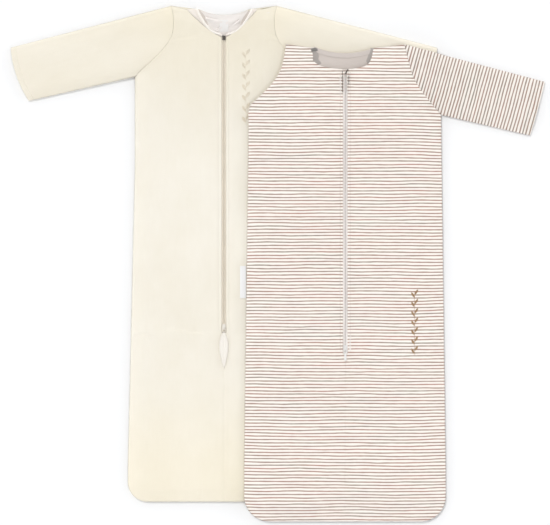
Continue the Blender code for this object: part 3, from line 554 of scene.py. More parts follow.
def striped_jersey(name, inked, ground_level):
    """Off-white jersey printed with uneven hand-drawn taupe lines.

    inked and ground_level are the brightness of the lines and of the cloth between them.
    """
    made, tree, shader = new_material(name, (0.95, 0.91, 0.86), 0.88, sheen=0.12)
    plain = place(tree, (1.0, 1.0, 1.0))
    split = node(tree, "ShaderNodeSeparateXYZ", Vector=plain)
    u, v = split.outputs["X"], split.outputs["Y"]

    def wander(per_u, per_row, row, detail=1.0):
        at = node(tree, "ShaderNodeCombineXYZ", X=maths(tree, "MULTIPLY", u, per_u),
                  Y=maths(tree, "MULTIPLY", row, per_row)).outputs["Vector"]
        return maths(tree, "SUBTRACT", grain(tree, at, detail), 0.5)

    sway = wander(5.0, 6.0, v)
    row_at = maths(tree, "MULTIPLY_ADD", sway, 0.9, maths(tree, "DIVIDE", v, STRIPE_PITCH))
    row = maths(tree, "FLOOR", row_at)
    within = maths(tree, "SUBTRACT", maths(tree, "FRACT", row_at), 0.5)
    wave = maths(tree, "MULTIPLY", wander(14.0, 7.31, row, 2.0), 0.55)
    half = maths(tree, "MULTIPLY_ADD", wander(60.0, 3.17, row, 2.0), 0.14, 0.190)
    away = maths(tree, "ABSOLUTE", maths(tree, "SUBTRACT", within, wave))
    line = ramp(tree, away, maths(tree, "ADD", half, 0.045), maths(tree, "SUBTRACT", half, 0.045),
                0.0, 1.0)
    mottled = grain(tree, place(tree, (900.0, 900.0, 1.0)), 2.0)
    worn = maths(tree, "MULTIPLY_ADD", mottled, 0.5, 0.62)
    line = maths(tree, "MINIMUM", maths(tree, "MULTIPLY", line, worn), 1.0)
    tint = maths(tree, "MULTIPLY_ADD", wander(9.0, 5.77, row), 2.4, 0.5)
    ink = blend_colour(tree, tint, (0.410, 0.205, 0.150), (0.255, 0.200, 0.150))
    patches = grain(tree, place(tree, (6.0, 6.0, 1.0)), 2.0)
    ground = blend_colour(tree, patches, (0.950, 0.880, 0.810), (0.975, 0.920, 0.860))
    ink = tinted(tree, ink, (inked,) * 3)
    ground = tinted(tree, ground, (ground_level,) * 3)
    # painted shade where the jersey turns down at its rims and seams
    printed = tinted(tree, blend_colour(tree, line, ground, ink), rim_shade(tree, 0.55))
    columns = grain(tree, place(tree, (1500.0, 600.0, 1.0)), 1.0)
    yarn = grain(tree, place(tree, (80.0, 500.0, 1.0)), 3.0)
    return finish(made, tree, shader, printed, yarn, 0.15, 0.80,
                  [(yarn, 0.0005, 0.20), (columns, 0.0003, 0.40)])


def woven_tape(name, colour, darker):
    """Zip tape: a tight woven herringbone."""
    made, tree, shader = new_material(name, colour, 0.80, sheen=0.08)
    weave = node(tree, "ShaderNodeTexWave", {"wave_type": "BANDS", "bands_direction": "DIAGONAL"},
                 Vector=place(tree, (1.0, 1.0, 1.0), "object"), Scale=190.0, Distortion=1.2,
                 Detail=1.0).outputs["Fac"]
    thread = grain(tree, place(tree, (2400.0, 700.0, 700.0), "object"), 2.0)
    tone = maths(tree, "MULTIPLY_ADD", weave, 0.5, maths(tree, "MULTIPLY", thread, 0.5))
    return finish(made, tree, shader, blend_colour(tree, tone, colour, darker), thread, 0.2, 0.7,
                  [(weave, 0.0003, 0.5), (thread, 0.0002, 0.4)])


def moulded(name, colour, darker, roughness):
    """Moulded plastic with a faint satin texture and slightly rubbed tone."""
    made, tree, shader = new_material(name, colour, roughness)
    rubbed = grain(tree, place(tree, (220.0, 220.0, 220.0), "object"), 3.0)
    fine = grain(tree, place(tree, (3200.0, 3200.0, 3200.0), "object"), 2.0)
    return finish(made, tree, shader, blend_colour(tree, rubbed, colour, darker), rubbed, 0.25,
                  roughness - 0.12, [(fine, 0.0001, 0.25)])


def enamelled(name, colour, worn, roughness):
    """Die-cast metal under enamel, rubbed brighter in small spots."""
    made, tree, shader = new_material(name, colour, roughness)
    rubbed = grain(tree, place(tree, (520.0, 520.0, 520.0), "object"), 4.0, 0.7)
    spots = node(tree, "ShaderNodeMapRange", Value=rubbed, From_Min=0.60, From_Max=0.72)
    spots = spots.outputs["Result"]
    shader.inputs["Coat Weight"].default_value = 0.3
    return finish(made, tree, shader, blend_colour(tree, spots, colour, worn), rubbed, 0.3,
                  roughness - 0.1, [(rubbed, 0.0002, 0.2)])


def thread(name, colour, darker):
    """Twisted embroidery thread with a satin sheen."""
    made, tree, shader = new_material(name, colour, 0.55, sheen=0.25)
    twist = grain(tree, place(tree, (1800.0, 1800.0, 1800.0), "object"), 2.0)
    return finish(made, tree, shader, blend_colour(tree, twist, colour, darker), twist, 0.25,
                  0.42, [(twist, 0.0002, 0.5)])


VELOUR_CLOTH = velour("velour_cloth", 1.0, 0.07)
SLEEVE_VELOUR = velour("sleeve_velour_cloth", 0.97, 0.0, (1.0, 0.99, 0.963))
FACING_CLOTH = knit("facing_cloth", (0.850, 0.790, 0.725), (0.780, 0.710, 0.640))
PIPING_CLOTH = knit("piping_cloth", (0.905, 0.860, 0.805), (0.850, 0.795, 0.730))
LINING_CLOTH = knit("lining_cloth", (0.880, 0.835, 0.800), (0.790, 0.735, 0.690))
FACING_GREY = knit("facing_grey_cloth", (0.670, 0.602, 0.553), (0.566, 0.502, 0.460))
BINDING_GREY = knit("binding_grey_cloth", (0.655, 0.590, 0.545), (0.555, 0.495, 0.455))
# turned cloth coloured dark as painted shade in the corners of the inner neck
SHADED_TURNING_GREY = knit("shaded_turning_grey_cloth", (0.455, 0.415, 0.385), (0.380, 0.345, 0.320))
STRIPED = striped_jersey("striped_jersey", 0.97, 1.0)
# a duller copy of the printed jersey: the spread sleeve's cloth, and painted shade on the zip flaps
DULL_STRIPED = striped_jersey("dull_striped_jersey", 0.80, 0.93)
LEAF_CLOTH = knit("leaf_pull_cloth", (0.910, 0.870, 0.805), (0.850, 0.800, 0.720), 1400.0)
LABEL_CLOTH = knit("label_cloth", (0.930, 0.925, 0.915), (0.870, 0.860, 0.850), 2200.0)
NECK_LABEL_CLOTH = knit("neck_label_cloth", (0.870, 0.850, 0.825), (0.815, 0.795, 0.770), 2200.0)
# turned cloth coloured darker as painted shade in the corners of the outer neck
SHADED_TURNING_CLOTH = knit("shaded_turning_cloth", (0.640, 0.580, 0.530), (0.540, 0.480, 0.430))
# near black: painted shadow in the left corner of the inner neck
CORNER_SHADOW_CLOTH = knit("corner_shadow_cloth", (0.260, 0.245, 0.230), (0.160, 0.150, 0.140))
CREAM_TAPE = woven_tape("cream_tape", (0.930, 0.865, 0.755), (0.840, 0.765, 0.640))
GREY_TAPE = woven_tape("grey_tape", (0.930, 0.880, 0.840), (0.830, 0.775, 0.735))
CREAM_TEETH = moulded("cream_teeth", (0.930, 0.860, 0.745), (0.860, 0.780, 0.650), 0.45)
GREY_TEETH = moulded("grey_teeth", (0.930, 0.885, 0.850), (0.850, 0.800, 0.765), 0.45)
WHITE_PLASTIC = moulded("white_plastic", (0.880, 0.870, 0.850), (0.800, 0.790, 0.770), 0.38)
DARK_METAL = enamelled("dark_enamel", (0.075, 0.065, 0.055), (0.30, 0.28, 0.25), 0.42)
PALE_METAL = enamelled("pale_enamel", (0.880, 0.840, 0.770), (0.70, 0.66, 0.60), 0.36)
CREAM_THREAD = thread("cream_satin_thread", (0.830, 0.760, 0.630), (0.780, 0.700, 0.560))
BROWN_THREAD = thread("brown_satin_thread", (0.430, 0.270, 0.130), (0.300, 0.180, 0.080))
WHITE_THREAD = thread("white_thread", (0.880, 0.840, 0.760), (0.780, 0.730, 0.640))
EDGE_THREAD = thread("edge_thread", (0.640, 0.570, 0.480), (0.540, 0.480, 0.400))
DARK_THREAD = thread("dark_thread", (0.100, 0.085, 0.075), (0.060, 0.050, 0.045))
GREY_THREAD = thread("grey_thread", (0.300, 0.240, 0.210), (0.230, 0.180, 0.150))


# ------------------------------------------------------------ builders
def border_distance(x, y):
    """Distance of each grid point from the nearest border of its grid."""
    nearest = np.full(x.shape, 1e9)
    for axis in (0, 1):
        steps = np.hypot(np.diff(x, axis=axis), np.diff(y, axis=axis))
        start = np.zeros_like(np.take(steps, [0], axis))
        run = np.concatenate([start, np.cumsum(steps, axis=axis)], axis)
        whole = np.take(run, [-1], axis)
        nearest = np.minimum(nearest, np.minimum(run, whole - run))
    return nearest


def sheet_piece(name, x, y, top, thickness, roll, flush=0.0):
    """A closed sheet of cloth under a grid of top heights, its borders rolled round.

    flush is the share by which a border stays level instead, as in a flat seam.
    """
    edge = bulge(border_distance(x, y) / roll)
    centre = top - thickness / 2
    rows, cols = x.shape
    above = np.stack([x, y, centre + thickness / 2 * np.maximum(edge, flush)], -1)
    above = above.reshape(-1, 3)
    below = np.stack([x, y, centre - thickness / 2 * edge], -1)[1:-1, 1:-1].reshape(-1, 3)
    index = np.arange(rows * cols).reshape(rows, cols)
    under = index.copy()
    under[1:-1, 1:-1] = rows * cols + np.arange(len(below)).reshape(rows - 2, cols - 2)
    upper, lower = grid_faces(index), grid_faces(under)[:, ::-1]
    a, b, c, d = (above[upper[:, k]] for k in range(4))
    if np.cross(c - a, d - b)[:, 2].sum() < 0:
        upper, lower = upper[:, ::-1], lower[:, ::-1]
    points = np.vstack([above, below])
    return mesh_object(name, points, np.vstack([upper, lower]).tolist(), points[:, :2])


def grid_faces(index):
    """The four corners of every face of a grid of point numbers."""
    corners = [index[:-1, :-1], index[:-1, 1:], index[1:, 1:], index[1:, :-1]]
    return np.stack(corners, -1).reshape(-1, 4)


def mesh_object(name, points, faces, uvs=None):
    """A smooth-shaded object from points and faces, with a cloth map."""
    mesh = bpy.data.meshes.new(name)
    mesh.from_pydata(points.tolist(), [], faces)
    if uvs is not None:
        layer = mesh.uv_layers.new(name="cloth")
        corners = [corner for face in faces for corner in face]
        layer.data.foreach_set("uv", uvs[corners].astype(np.float32).ravel())
    mesh.shade_smooth()
    mesh.update()
    obj = bpy.data.objects.new(name, mesh)
    bpy.context.scene.collection.objects.link(obj)
    return obj


def tube_piece(name, seam, cuff, bow, thickness, ground, edge, loft, steps, roll, hem=None,
               ripple=None, stop=1.0, inset=0.0):
    """A flattened sleeve: a cloth tube from an armhole seam to a cuff, open at its cuff.

    seam runs from the overarm fold to the underarm fold, and cuff is its two ends.
    """
    seam, cuff = np.array(seam), np.array(cuff)
    u = spread(0.0, stop, steps[0], [(0.0, 0.02), (stop, 0.02), (0.955, 0.02)])[:, None]
    v = shares(steps[1], 0.05)
    v = np.r_[v, v[-2:0:-1]]
    layer = np.r_[np.ones(steps[1]), -np.ones(steps[1] - 2)][None, :]
    out = np.array([cuff[0, 1] - cuff[1, 1], cuff[1, 0] - cuff[0, 0]])
    out = out / np.hypot(*out)
    if (cuff.mean(0) - seam.mean(0)) @ out < 0:
        out = -out
    at_seam = along(seam, v)
    at_cuff = cuff[0] + (cuff[1] - cuff[0]) * v[:, None] + out * (bow * 4 * v * (1 - v))[:, None]

    def surface(u, wall):
        flat = at_seam[None] + (at_cuff - at_seam)[None] * u[:, :, None]
        width = np.hypot(*(flat[:, 0] - flat[:, steps[1] - 1]).T)[:, None]
        length = np.hypot(*(at_cuff - at_seam).T)[None, :]
        ends = np.minimum(u * length, (stop - u) * length)
        closed = bulge(ends / roll)
        shrink = inset + (thickness * closed if wall else 0.0)
        scale = 1 - 2 * shrink / width
        centre = (flat[:, :1] + flat[:, steps[1] - 1:steps[1]]) / 2
        flat = centre + (flat - centre) * scale[:, :, None]
        side = np.minimum(v, 1 - v)[None, :] * width
        x, y = flat[..., 0], flat[..., 1]
        low = ground(x, y)
        high = low + edge + (loft(u) - edge) * edge_profile(side, 0.008, 0.026)
        if ripple is not None:
            high = high + ripple(x, y, u, v[None, :]) * smooth(side / 0.016)
        if hem is not None:
            high = high - 0.0007 * ridge((1 - u) * length - hem, 0.0011)
        low = low + edge * (1 - bulge(side / 0.006))
        half, mid = (high - low) / 2 - inset, (high + low) / 2
        off = thickness / 2 * (1 - closed)
        half = np.maximum(half - (thickness - off if wall else off), 0.0)
        uv = np.stack([(x - cuff[0, 0]) * out[1] - (y - cuff[0, 1]) * out[0],
                       (x - cuff[0, 0]) * out[0] + (y - cuff[0, 1]) * out[1]], -1)
        return np.stack([x, y, mid + layer * half], -1), uv

    outer, outer_uv = surface(u, False)
    inner, inner_uv = surface(u[-2:0:-1], True)
    points = np.vstack([outer, inner])
    uv = np.vstack([outer_uv, inner_uv])
    rows, cols = points.shape[:2]
    index = np.arange(rows * cols).reshape(rows, cols)
    index = np.vstack([np.hstack([index, index[:, :1]]), np.hstack([index[:1], index[:1, :1]])])
    faces = grid_faces(index)
    flat = points.reshape(-1, 3)
    upper = (steps[0] // 2) * cols + steps[1] // 2
    near = flat[[upper, upper + 1, upper + cols]]
    if np.cross(near[1] - near[0], near[2] - near[0])[2] < 0:
        faces = faces[:, ::-1]
    return mesh_object(name, flat, faces.tolist(), uv.reshape(-1, 2))


def beads(name, centres, directions, sizes, power=1.0, around=6, rings=3):
    """Many small rounded beads in one mesh, each longest along its own direction."""
    centres = np.array(centres, float)
    directions = np.array(directions, float)
    directions = directions / np.linalg.norm(directions, axis=1)[:, None]
    sizes = np.broadcast_to(np.array(sizes, float), centres.shape)
    turn = np.linspace(0, 2 * pi, around, endpoint=False)
    rise = np.linspace(-pi / 2, pi / 2, rings + 2)[1:-1]

    def rounded(value):
        return np.sign(value) * np.abs(value) ** power

    rim = np.array([(rounded(sin(r)), rounded(cos(r)) * rounded(cos(t)),
                     rounded(cos(r)) * rounded(sin(t))) for r in rise for t in turn])
    shape = np.vstack([[-1, 0, 0], rim, [1, 0, 0]]) / 2
    side = np.cross([0.0, 0.0, 1.0], directions)
    side = side / np.maximum(np.linalg.norm(side, axis=1), 1e-9)[:, None]
    up = np.cross(directions, side)
    points = centres[:, None]
    for k, axis in enumerate((directions, side, up)):
        points = points + shape[None, :, k, None] * sizes[:, None, k, None] * axis[:, None]
    faces = []
    for t in range(around):
        n = (t + 1) % around
        faces.append((0, 1 + n, 1 + t, 1 + t))
        for r in range(rings - 1):
            a = 1 + r * around
            faces.append((a + t, a + n, a + around + n, a + around + t))
        a = 1 + (rings - 1) * around
        faces.append((a + t, a + n, len(shape) - 1, len(shape) - 1))
    first = np.arange(len(centres))[:, None, None] * len(shape)
    every = (np.array(faces)[None] + first).reshape(-1, 4)
    polygons = [list(dict.fromkeys(face)) for face in every.tolist()]
    return mesh_object(name, points.reshape(-1, 3), polygons)


def surface_reader(sides, centre):
    """Height of the laid fronts at any point, from the grids of the two of them."""
    def read(px, py):
        found = np.zeros(len(px))
        for k, (at_x, at_y) in enumerate(zip(px, py)):
            x, y, top = sides[-1 if at_x < centre else 1]
            row = np.interp(at_y, y[:, 0], np.arange(len(y)))
            low = min(int(row), len(y) - 2)
            pair = [np.interp(abs(at_x - centre), np.abs(x[r]), top[r]) for r in (low, low + 1)]
            found[k] = lerp(pair[0], pair[1], row - low)
        return found
    return read


def stitches(name, runs, pitch, size):
    """Stitches at an even pitch along runs of (path, height function)."""
    centres, directions = [], []
    for path, height in runs:
        path = np.array(path, float)
        steps = np.r_[0.0, np.cumsum(np.hypot(*np.diff(path, axis=0).T))]
        count = max(int(steps[-1] / pitch), 2)
        at = (np.arange(count) + 0.5) / count
        here = along(path, at)
        ahead = along(path, at + 0.3 / count) - along(path, at - 0.3 / count)
        z = height(here[:, 0], here[:, 1])
        centres.append(np.column_stack([here, z]))
        directions.append(np.column_stack([ahead, np.zeros(count)]))
    return beads(name, np.vstack(centres), np.vstack(directions), size)


def rope(name, path, radius, flat, sides=10):
    """A closed cord of cloth along a path of 3-D points, its height flat times its width."""
    path = np.array(path, float)
    ahead = np.gradient(path, axis=0)
    ahead /= np.linalg.norm(ahead, axis=1)[:, None]
    side = np.cross([0.0, 0.0, 1.0], ahead)
    side /= np.linalg.norm(side, axis=1)[:, None]
    up = np.cross(ahead, side)
    turn = np.linspace(0, 2 * pi, sides, endpoint=False)
    number = np.arange(len(path))
    taper = bulge(np.minimum(number, len(path) - 1 - number) / 3.0 + 0.08)
    ring = np.cos(turn)[None, :, None] * side[:, None]
    ring = ring + flat * np.sin(turn)[None, :, None] * up[:, None]
    points = path[:, None] + radius * taper[:, None, None] * ring
    length = np.r_[0.0, np.cumsum(np.linalg.norm(np.diff(path, axis=0), axis=1))]
    uv = np.stack([np.broadcast_to(turn * radius, points.shape[:2]),
                   np.broadcast_to(length[:, None], points.shape[:2])], -1)
    rows, cols = points.shape[:2]
    index = np.arange(rows * cols).reshape(rows, cols)
    index = np.hstack([index, index[:, :1]])
    caps = [index[0, :-1].tolist(), index[-1, :-1][::-1].tolist()]
    polygons = grid_faces(index)[:, [0, 3, 2, 1]].tolist() + caps
    return mesh_object(name, points.reshape(-1, 3), polygons, uv.reshape(-1, 2))


def soften(name, width, segments=3):
    """Round the edges of a CAD node."""
    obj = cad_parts[name]
    bevel = obj.modifiers.new("rounded edges", "BEVEL")
    bevel.width = width
    bevel.segments = segments
    bevel.limit_method = "ANGLE"
    obj.data.shade_smooth()
    return obj


def half_front(side, zip_low, seam_low, seam_out, shoulder, channel, end, hem, neck, rows, cols,
               spots):
    """Grid of a front panel beside its centre line, from hem to shoulder."""
    y = spread(hem, shoulder[1] - 0.0004, rows, spots)[:, None]
    s = shares(cols, 0.030)[None, :]
    at_zip = lerp(-0.0002, channel, smooth((y - zip_low + 0.004) / 0.004))
    rising = neck(y)
    along_shoulder = (y - seam_out[1]) / (shoulder[1] - seam_out[1])
    tail = seam_out[0] + (shoulder[0] - seam_out[0]) * along_shoulder
    inner = np.where(y < seam_out[1], np.maximum(rising, channel), tail)
    inner = np.where(y < seam_low, at_zip, inner)
    x = inner + (end(y) - inner) * s
    return side * x, y + 0 * x


def settle(x, y, top, growth, cap):
    """Height change of a panel held at its borders and cut a little too large for them.

    A coarser copy of the grid settles as cloth, and its ripples are kept within cap.
    """
    rows = np.linspace(0, x.shape[0] - 1, 110).astype(int)
    cols = np.linspace(0, x.shape[1] - 1, 34).astype(int)
    pick = np.ix_(rows, cols)
    shape = x[pick].shape
    points = np.stack([x[pick], y[pick], top[pick]], -1).reshape(-1, 3)
    index = np.arange(len(points)).reshape(shape)
    trial = mesh_object("settling_cloth", points, grid_faces(index).tolist())
    held = trial.vertex_groups.new(name="held")
    rim = np.ones(shape, bool)
    rim[2:-2, 2:-2] = False
    held.add(index[rim].tolist(), 1.0, "ADD")
    modifier = trial.modifiers.new("settle", "CLOTH")
    modifier.settings.vertex_group_mass = "held"
    modifier.settings.quality = 6
    modifier.settings.mass = 0.25
    modifier.settings.tension_stiffness = modifier.settings.compression_stiffness = 18.0
    modifier.settings.shear_stiffness = 6.0
    modifier.settings.bending_stiffness = 0.6
    modifier.settings.shrink_min = -growth
    modifier.settings.effector_weights.gravity = 0.0
    modifier.collision_settings.use_collision = False
    for number in range(1, 19):
        bpy.context.scene.frame_set(number)
    settled = trial.evaluated_get(bpy.context.evaluated_depsgraph_get()).to_mesh()
    moved = np.zeros(len(points) * 3)
    settled.vertices.foreach_get("co", moved)
    change = (moved.reshape(-1, 3)[:, 2] - points[:, 2]).reshape(shape)
    bpy.data.objects.remove(trial)
    bpy.context.scene.frame_set(1)
    change = cap * np.tanh(change / cap)
    change = np.maximum(change, -0.3 * cap) * smooth((np.abs(x[pick]) - 0.010) / 0.030)
    full = np.arange(x.shape[1])
    change = np.stack([np.interp(full, cols, row) for row in change])
    full = np.arange(x.shape[0])
    return np.stack([np.interp(full, rows, column) for column in change.T], -1)


# ------------------------------------------------------------ outer bag
def outer_neck_seam(y):
    rise = np.clip((y - OUTER_NECK_SEAM_LOW) / (OUTER_NECK_SEAM[1] - OUTER_NECK_SEAM_LOW), 0, 1)
    return OUTER_NECK_SEAM[0] * rise ** (1 / 1.4)


def outer_neck_opening(y):
    rise = np.clip((y - OUTER_NECK_OPEN_LOW) / (OUTER_NECK_OPEN[1] - OUTER_NECK_OPEN_LOW), 0, 1)
    return OUTER_NECK_OPEN[0] * rise ** (1 / 2.4)


def outer_neck_edge(y, side):
    """Rolled edge of the neck facing, which is pulled a little wider on the right."""
    return outer_neck_opening(y) * (1.06 if side < 0 else 1.11)


def back_panel(end, hem, shoulder, neck, flare_from, inset, rows, cols):
    """Grid of a whole back panel, its top following the back neck and the shoulders."""
    y = spread(hem + inset, shoulder[1] - inset, rows, [(hem, 0.03), (shoulder[1], 0.02)])[:, None]
    s = shares(cols, 0.03, -1.0)[None, :]
    x = s * (end(y) - inset)
    t = np.abs(x) / neck[0]
    low = neck[1] + (neck[2] - neck[1]) * np.minimum(t, 1.0) ** 2.2
    slope = (shoulder[1] - neck[2]) / (shoulder[0] - neck[0])
    top = low + slope * np.maximum(np.abs(x) - neck[0], 0.0)
    lowered = smooth((y - flare_from) / (shoulder[1] - flare_from))
    return x, y - np.maximum(shoulder[1] - top, 0.0) * lowered


OUTER_NECK_BACK = (OUTER_NECK_OPEN[0], *OUTER_BACK_NECK)
x, y = back_panel(outer_end, OUTER_HEM, OUTER_SHOULDER, OUTER_NECK_BACK, 0.400, 0.0, 160, 90)
away = distance(np.abs(x), y, OUTER_SIDE_PATH)
top = OUTER_BACK_TOP + 0.0011 * (1 - bulge(away / 0.005))
piece = sheet_piece("outer_back", OUTER_X + x, y, top, 0.0021, 0.0016)
dress(piece, VELOUR_CLOTH, "velour", "outer_bag", "outer_back_panel")

x, y = back_panel(outer_end, OUTER_HEM, OUTER_SHOULDER, OUTER_NECK_BACK, 0.400, 0.0075, 220, 110)
relief = 0.0007 * creases(x, y, 31, 0.08, 0.022, 0.7)
relief += 0.0005 * creases(x, y, 33, 0.06, 0.016, -0.9)
relief += 0.0011 * fold_ridge(x, y, (-0.030, 0.506), (0.010, 0.496), 0.0022)
relief += 0.0010 * fold_ridge(x, y, (0.040, 0.505), (0.012, 0.486), 0.0020)
piece = sheet_piece("outer_back_lining_cloth", OUTER_X + x, y, OUTER_LINING_TOP + relief,
                    0.0010, 0.0008)
dress(piece, LINING_CLOTH, "lining", "outer_bag", "outer_back_lining")

NECK_SEAM_SHARE = {-1: 1.0, 1: 0.90}
outer_laid, inner_laid = {}, {}
FRONT_SPOTS = [(OUTER_HEM, 0.020), (OUTER_ZIP[0], 0.006), (OUTER_NECK_SEAM_LOW, 0.010),
               (0.524, 0.012)]
for side, hand in HANDS:
    narrow = NECK_SEAM_SHARE[side]
    seam_out = (OUTER_NECK_SEAM[0] * narrow, OUTER_NECK_SEAM[1])
    x, y = half_front(side, OUTER_ZIP[0], OUTER_NECK_SEAM_LOW, seam_out, OUTER_SHOULDER,
                      OUTER_CHANNEL, outer_end, OUTER_HEM,
                      lambda at: outer_neck_seam(at) * narrow, 300, 70, FRONT_SPOTS)
    top = outer_top(np.abs(x), y, side)
    top = top + settle(x, y, top, 0.0025, 0.0009)
    # kept low beside the zip, so that the slider and its leaf pass over it
    under_leaf = OUTER_FRONT_TOP + 0.0001 + 0.15 * np.maximum(np.abs(x) - 0.0115, 0)
    top = np.minimum(top, under_leaf)
    outer_laid[side] = (x, y, top)
    dip = ridge(np.abs(x) - OUTER_CHANNEL - OUTER_STITCH, 0.0012)
    dip = dip * smooth((y - OUTER_ZIP[0]) / 0.01)
    dip = dip * (1 - smooth((y - OUTER_NECK_SEAM_LOW + 0.006) / 0.006))
    level = (np.abs(x) < 0.03) * (1 - smooth((y - OUTER_ZIP[0] + 0.012) / 0.01))
    centre_seam = ridge(x, 0.0030) * level
    armhole = distance(np.abs(x), y, OUTER_ARM_CURVE)
    level = np.maximum(level, 0.8 * (1 - smooth(armhole / 0.006)))
    top = top - 0.0006 * dip - 0.0004 * centre_seam
    piece = sheet_piece(f"outer_front_{hand}", OUTER_X + x, y, top, VELOUR, 0.0016, flush=level)
    dress(piece, VELOUR_CLOTH, "velour", "outer_bag", f"outer_{hand}_front_panel")
    x, y = half_front(side, OUTER_ZIP[0] - 0.006, OUTER_NECK_SEAM_LOW - 0.008,
                      (OUTER_NECK_SEAM[0], OUTER_NECK_SEAM[1] - 0.010),
                      (OUTER_SHOULDER[0] - 0.006, OUTER_SHOULDER[1] - 0.012), 0.0128,
                      lambda at: outer_end(at) - 0.009, OUTER_HEM + 0.010,
                      lambda at: outer_neck_seam(at + 0.008), 130, 30, FRONT_SPOTS)
    away = distance(np.abs(x), y, OUTER_SIDE_PATH)
    under = lerp(0.0052, 0.0106, smooth(away / 0.034))
    piece = sheet_piece(f"outer_front_lining_{hand}", OUTER_X + x, y, under, 0.0009, 0.0008)
    dress(piece, LINING_CLOTH, "lining", "outer_bag", f"outer_{hand}_front_lining")

# neck facing of the front: a soft band with a rolled inner edge
for side, hand in HANDS:
    t, s = band_grid(70, 0.04, 22, 0.06)
    rise = t ** 1.5
    open_y = OUTER_NECK_OPEN_LOW + (OUTER_NECK_OPEN[1] - 0.0012 - OUTER_NECK_OPEN_LOW) * rise
    seam_rise = OUTER_NECK_SEAM[1] - 0.0012 - OUTER_NECK_SEAM_LOW
    seam_y = OUTER_NECK_SEAM_LOW + 0.0008 + seam_rise * rise
    open_x = np.maximum(outer_neck_edge(open_y, side), OUTER_CHANNEL)
    seam_x = outer_neck_seam(seam_y) * NECK_SEAM_SHARE[side] - 0.0004
    seam_x = np.maximum(seam_x, OUTER_CHANNEL + 0.0002)
    x = open_x + (seam_x - open_x) * s
    y = open_y + (seam_y - open_y) * s
    across = np.hypot(x - open_x, y - open_y)
    width = np.hypot(seam_x - open_x, seam_y - open_y)
    roll = 0.0016 * ridge(across - 0.0030, 0.0022)
    groove = 0.0013 * ridge(across - 0.0066, 0.0011) * smooth((width - 0.007) / 0.003)
    away = distance(x, y, OUTER_SHOULDER_PATH)
    top = lerp(0.0046, 0.0126, edge_profile(away, 0.006, 0.018))
    top = top + (roll - groove) * smooth(away / 0.004)
    piece = sheet_piece(f"outer_neck_facing_{hand}", OUTER_X + side * x, y, top, 0.0020, 0.0018)
    dress(piece, FACING_CLOTH, "lining", "outer_bag", f"outer_{hand}_neck_facing")

# rolled piping along the opening
for side, hand in HANDS:
    t = np.linspace(0.012, 0.995, 60)
    path_y = OUTER_NECK_OPEN_LOW + (OUTER_NECK_OPEN[1] - OUTER_NECK_OPEN_LOW) * t ** 1.5
    path_x = np.maximum(outer_neck_edge(path_y, side), OUTER_CHANNEL) + 0.0024
    away = distance(path_x, path_y, OUTER_SHOULDER_PATH)
    level = lerp(0.0042, 0.0124, edge_profile(away, 0.006, 0.018))
    path = np.column_stack([OUTER_X + side * path_x, path_y, level])
    piece = rope(f"outer_neck_piping_{hand}", path, 0.0025, 0.8)
    dress(piece, PIPING_CLOTH, "lining", "outer_bag")
    sewn_on.setdefault(f"outer_neck_facing_{hand}", []).append(piece)

# neck facing of the back: a curved band just inside the back neck
t = np.linspace(-1, 1, 170)[:, None]
s = shares(64, 0.04)[None, :]
x = 0.0492 * t + 0 * s
top_y = OUTER_BACK_NECK[0] - 0.0005 + 0.0100 * np.abs(t) ** 2.2
low_y = OUTER_NECK_OPEN_LOW - 0.006 + 0.0530 * (np.abs(x) / OUTER_NECK_OPEN[0]) ** 2.4
y = top_y + (np.minimum(low_y, top_y - 0.006) - top_y) * s
puff = 0.0008 * creases(x, y, 41, 0.030, 0.010, 0.4)
PLEATS = (((-0.036, 0.5046), (0.004, 0.4960)), ((0.030, 0.4985), (0.012, 0.4850)),
          ((-0.014, 0.480), (0.002, 0.494)))
for start, end in PLEATS:
    puff -= 0.0024 * fold_ridge(x, y, start, end, 0.0011)
    puff += 0.0016 * fold_ridge(x, y + 0.0034, start, end, 0.0028)
top = OUTER_BACK_FACING_TOP + puff * smooth(s * (1 - s) * 8)
piece = sheet_piece("outer_back_neck_facing_cloth", OUTER_X + x, y, top, *FINE)
dress(piece, LINING_CLOTH, "lining", "outer_bag", "outer_back_neck_facing")

# strips of turned cloth in the corners of the neck, just under the front facing, coloured darker as
# painted shade
for side, hand in HANDS:
    t, s = band_grid(50, 0.06, 12, 0.1)
    edge_y = lerp(0.4860, 0.5165, t)
    edge_x = outer_neck_edge(edge_y, side) + 0.0020
    x = edge_x - (0.0020 + 0.0062 * np.sin(pi * np.clip(t, 0.04, 0.96)) ** 0.7) * s
    y = edge_y + 0.0030 * s
    top = OUTER_SHADED_TURNING_TOP - 0.0026 * s + 0 * x
    piece = sheet_piece(f"outer_neck_shaded_turning_{hand}", OUTER_X + side * x, y, top, *FINE)
    dress(piece, SHADED_TURNING_CLOTH, "lining", "outer_bag")


def outer_sleeve_ripple(seed):
    """Soft relief of one sleeve, with a long fold from its underarm."""
    def ripple(x, y, u, v):
        relief = 0.0010 * creases(u * 0.28, v * 0.12, seed, 0.16, 0.034, 0.15)
        relief += 0.0006 * creases(u * 0.28, v * 0.12, seed + 3, 0.07, 0.022, 1.2)
        relief -= 0.0013 * fold_ridge(u * 0.28, v * 0.15, (0.0, 0.138), (0.075, 0.100), 0.010)
        return relief
    return ripple


def floor_level(x, y):
    return 0.0 * x


def outer_sleeve_loft(u):
    """Height of the sleeve from its seam at 0 to its cuff at 1."""
    return lerp(OUTER_FRONT_TOP - 0.0004, 0.0096, smooth(u))


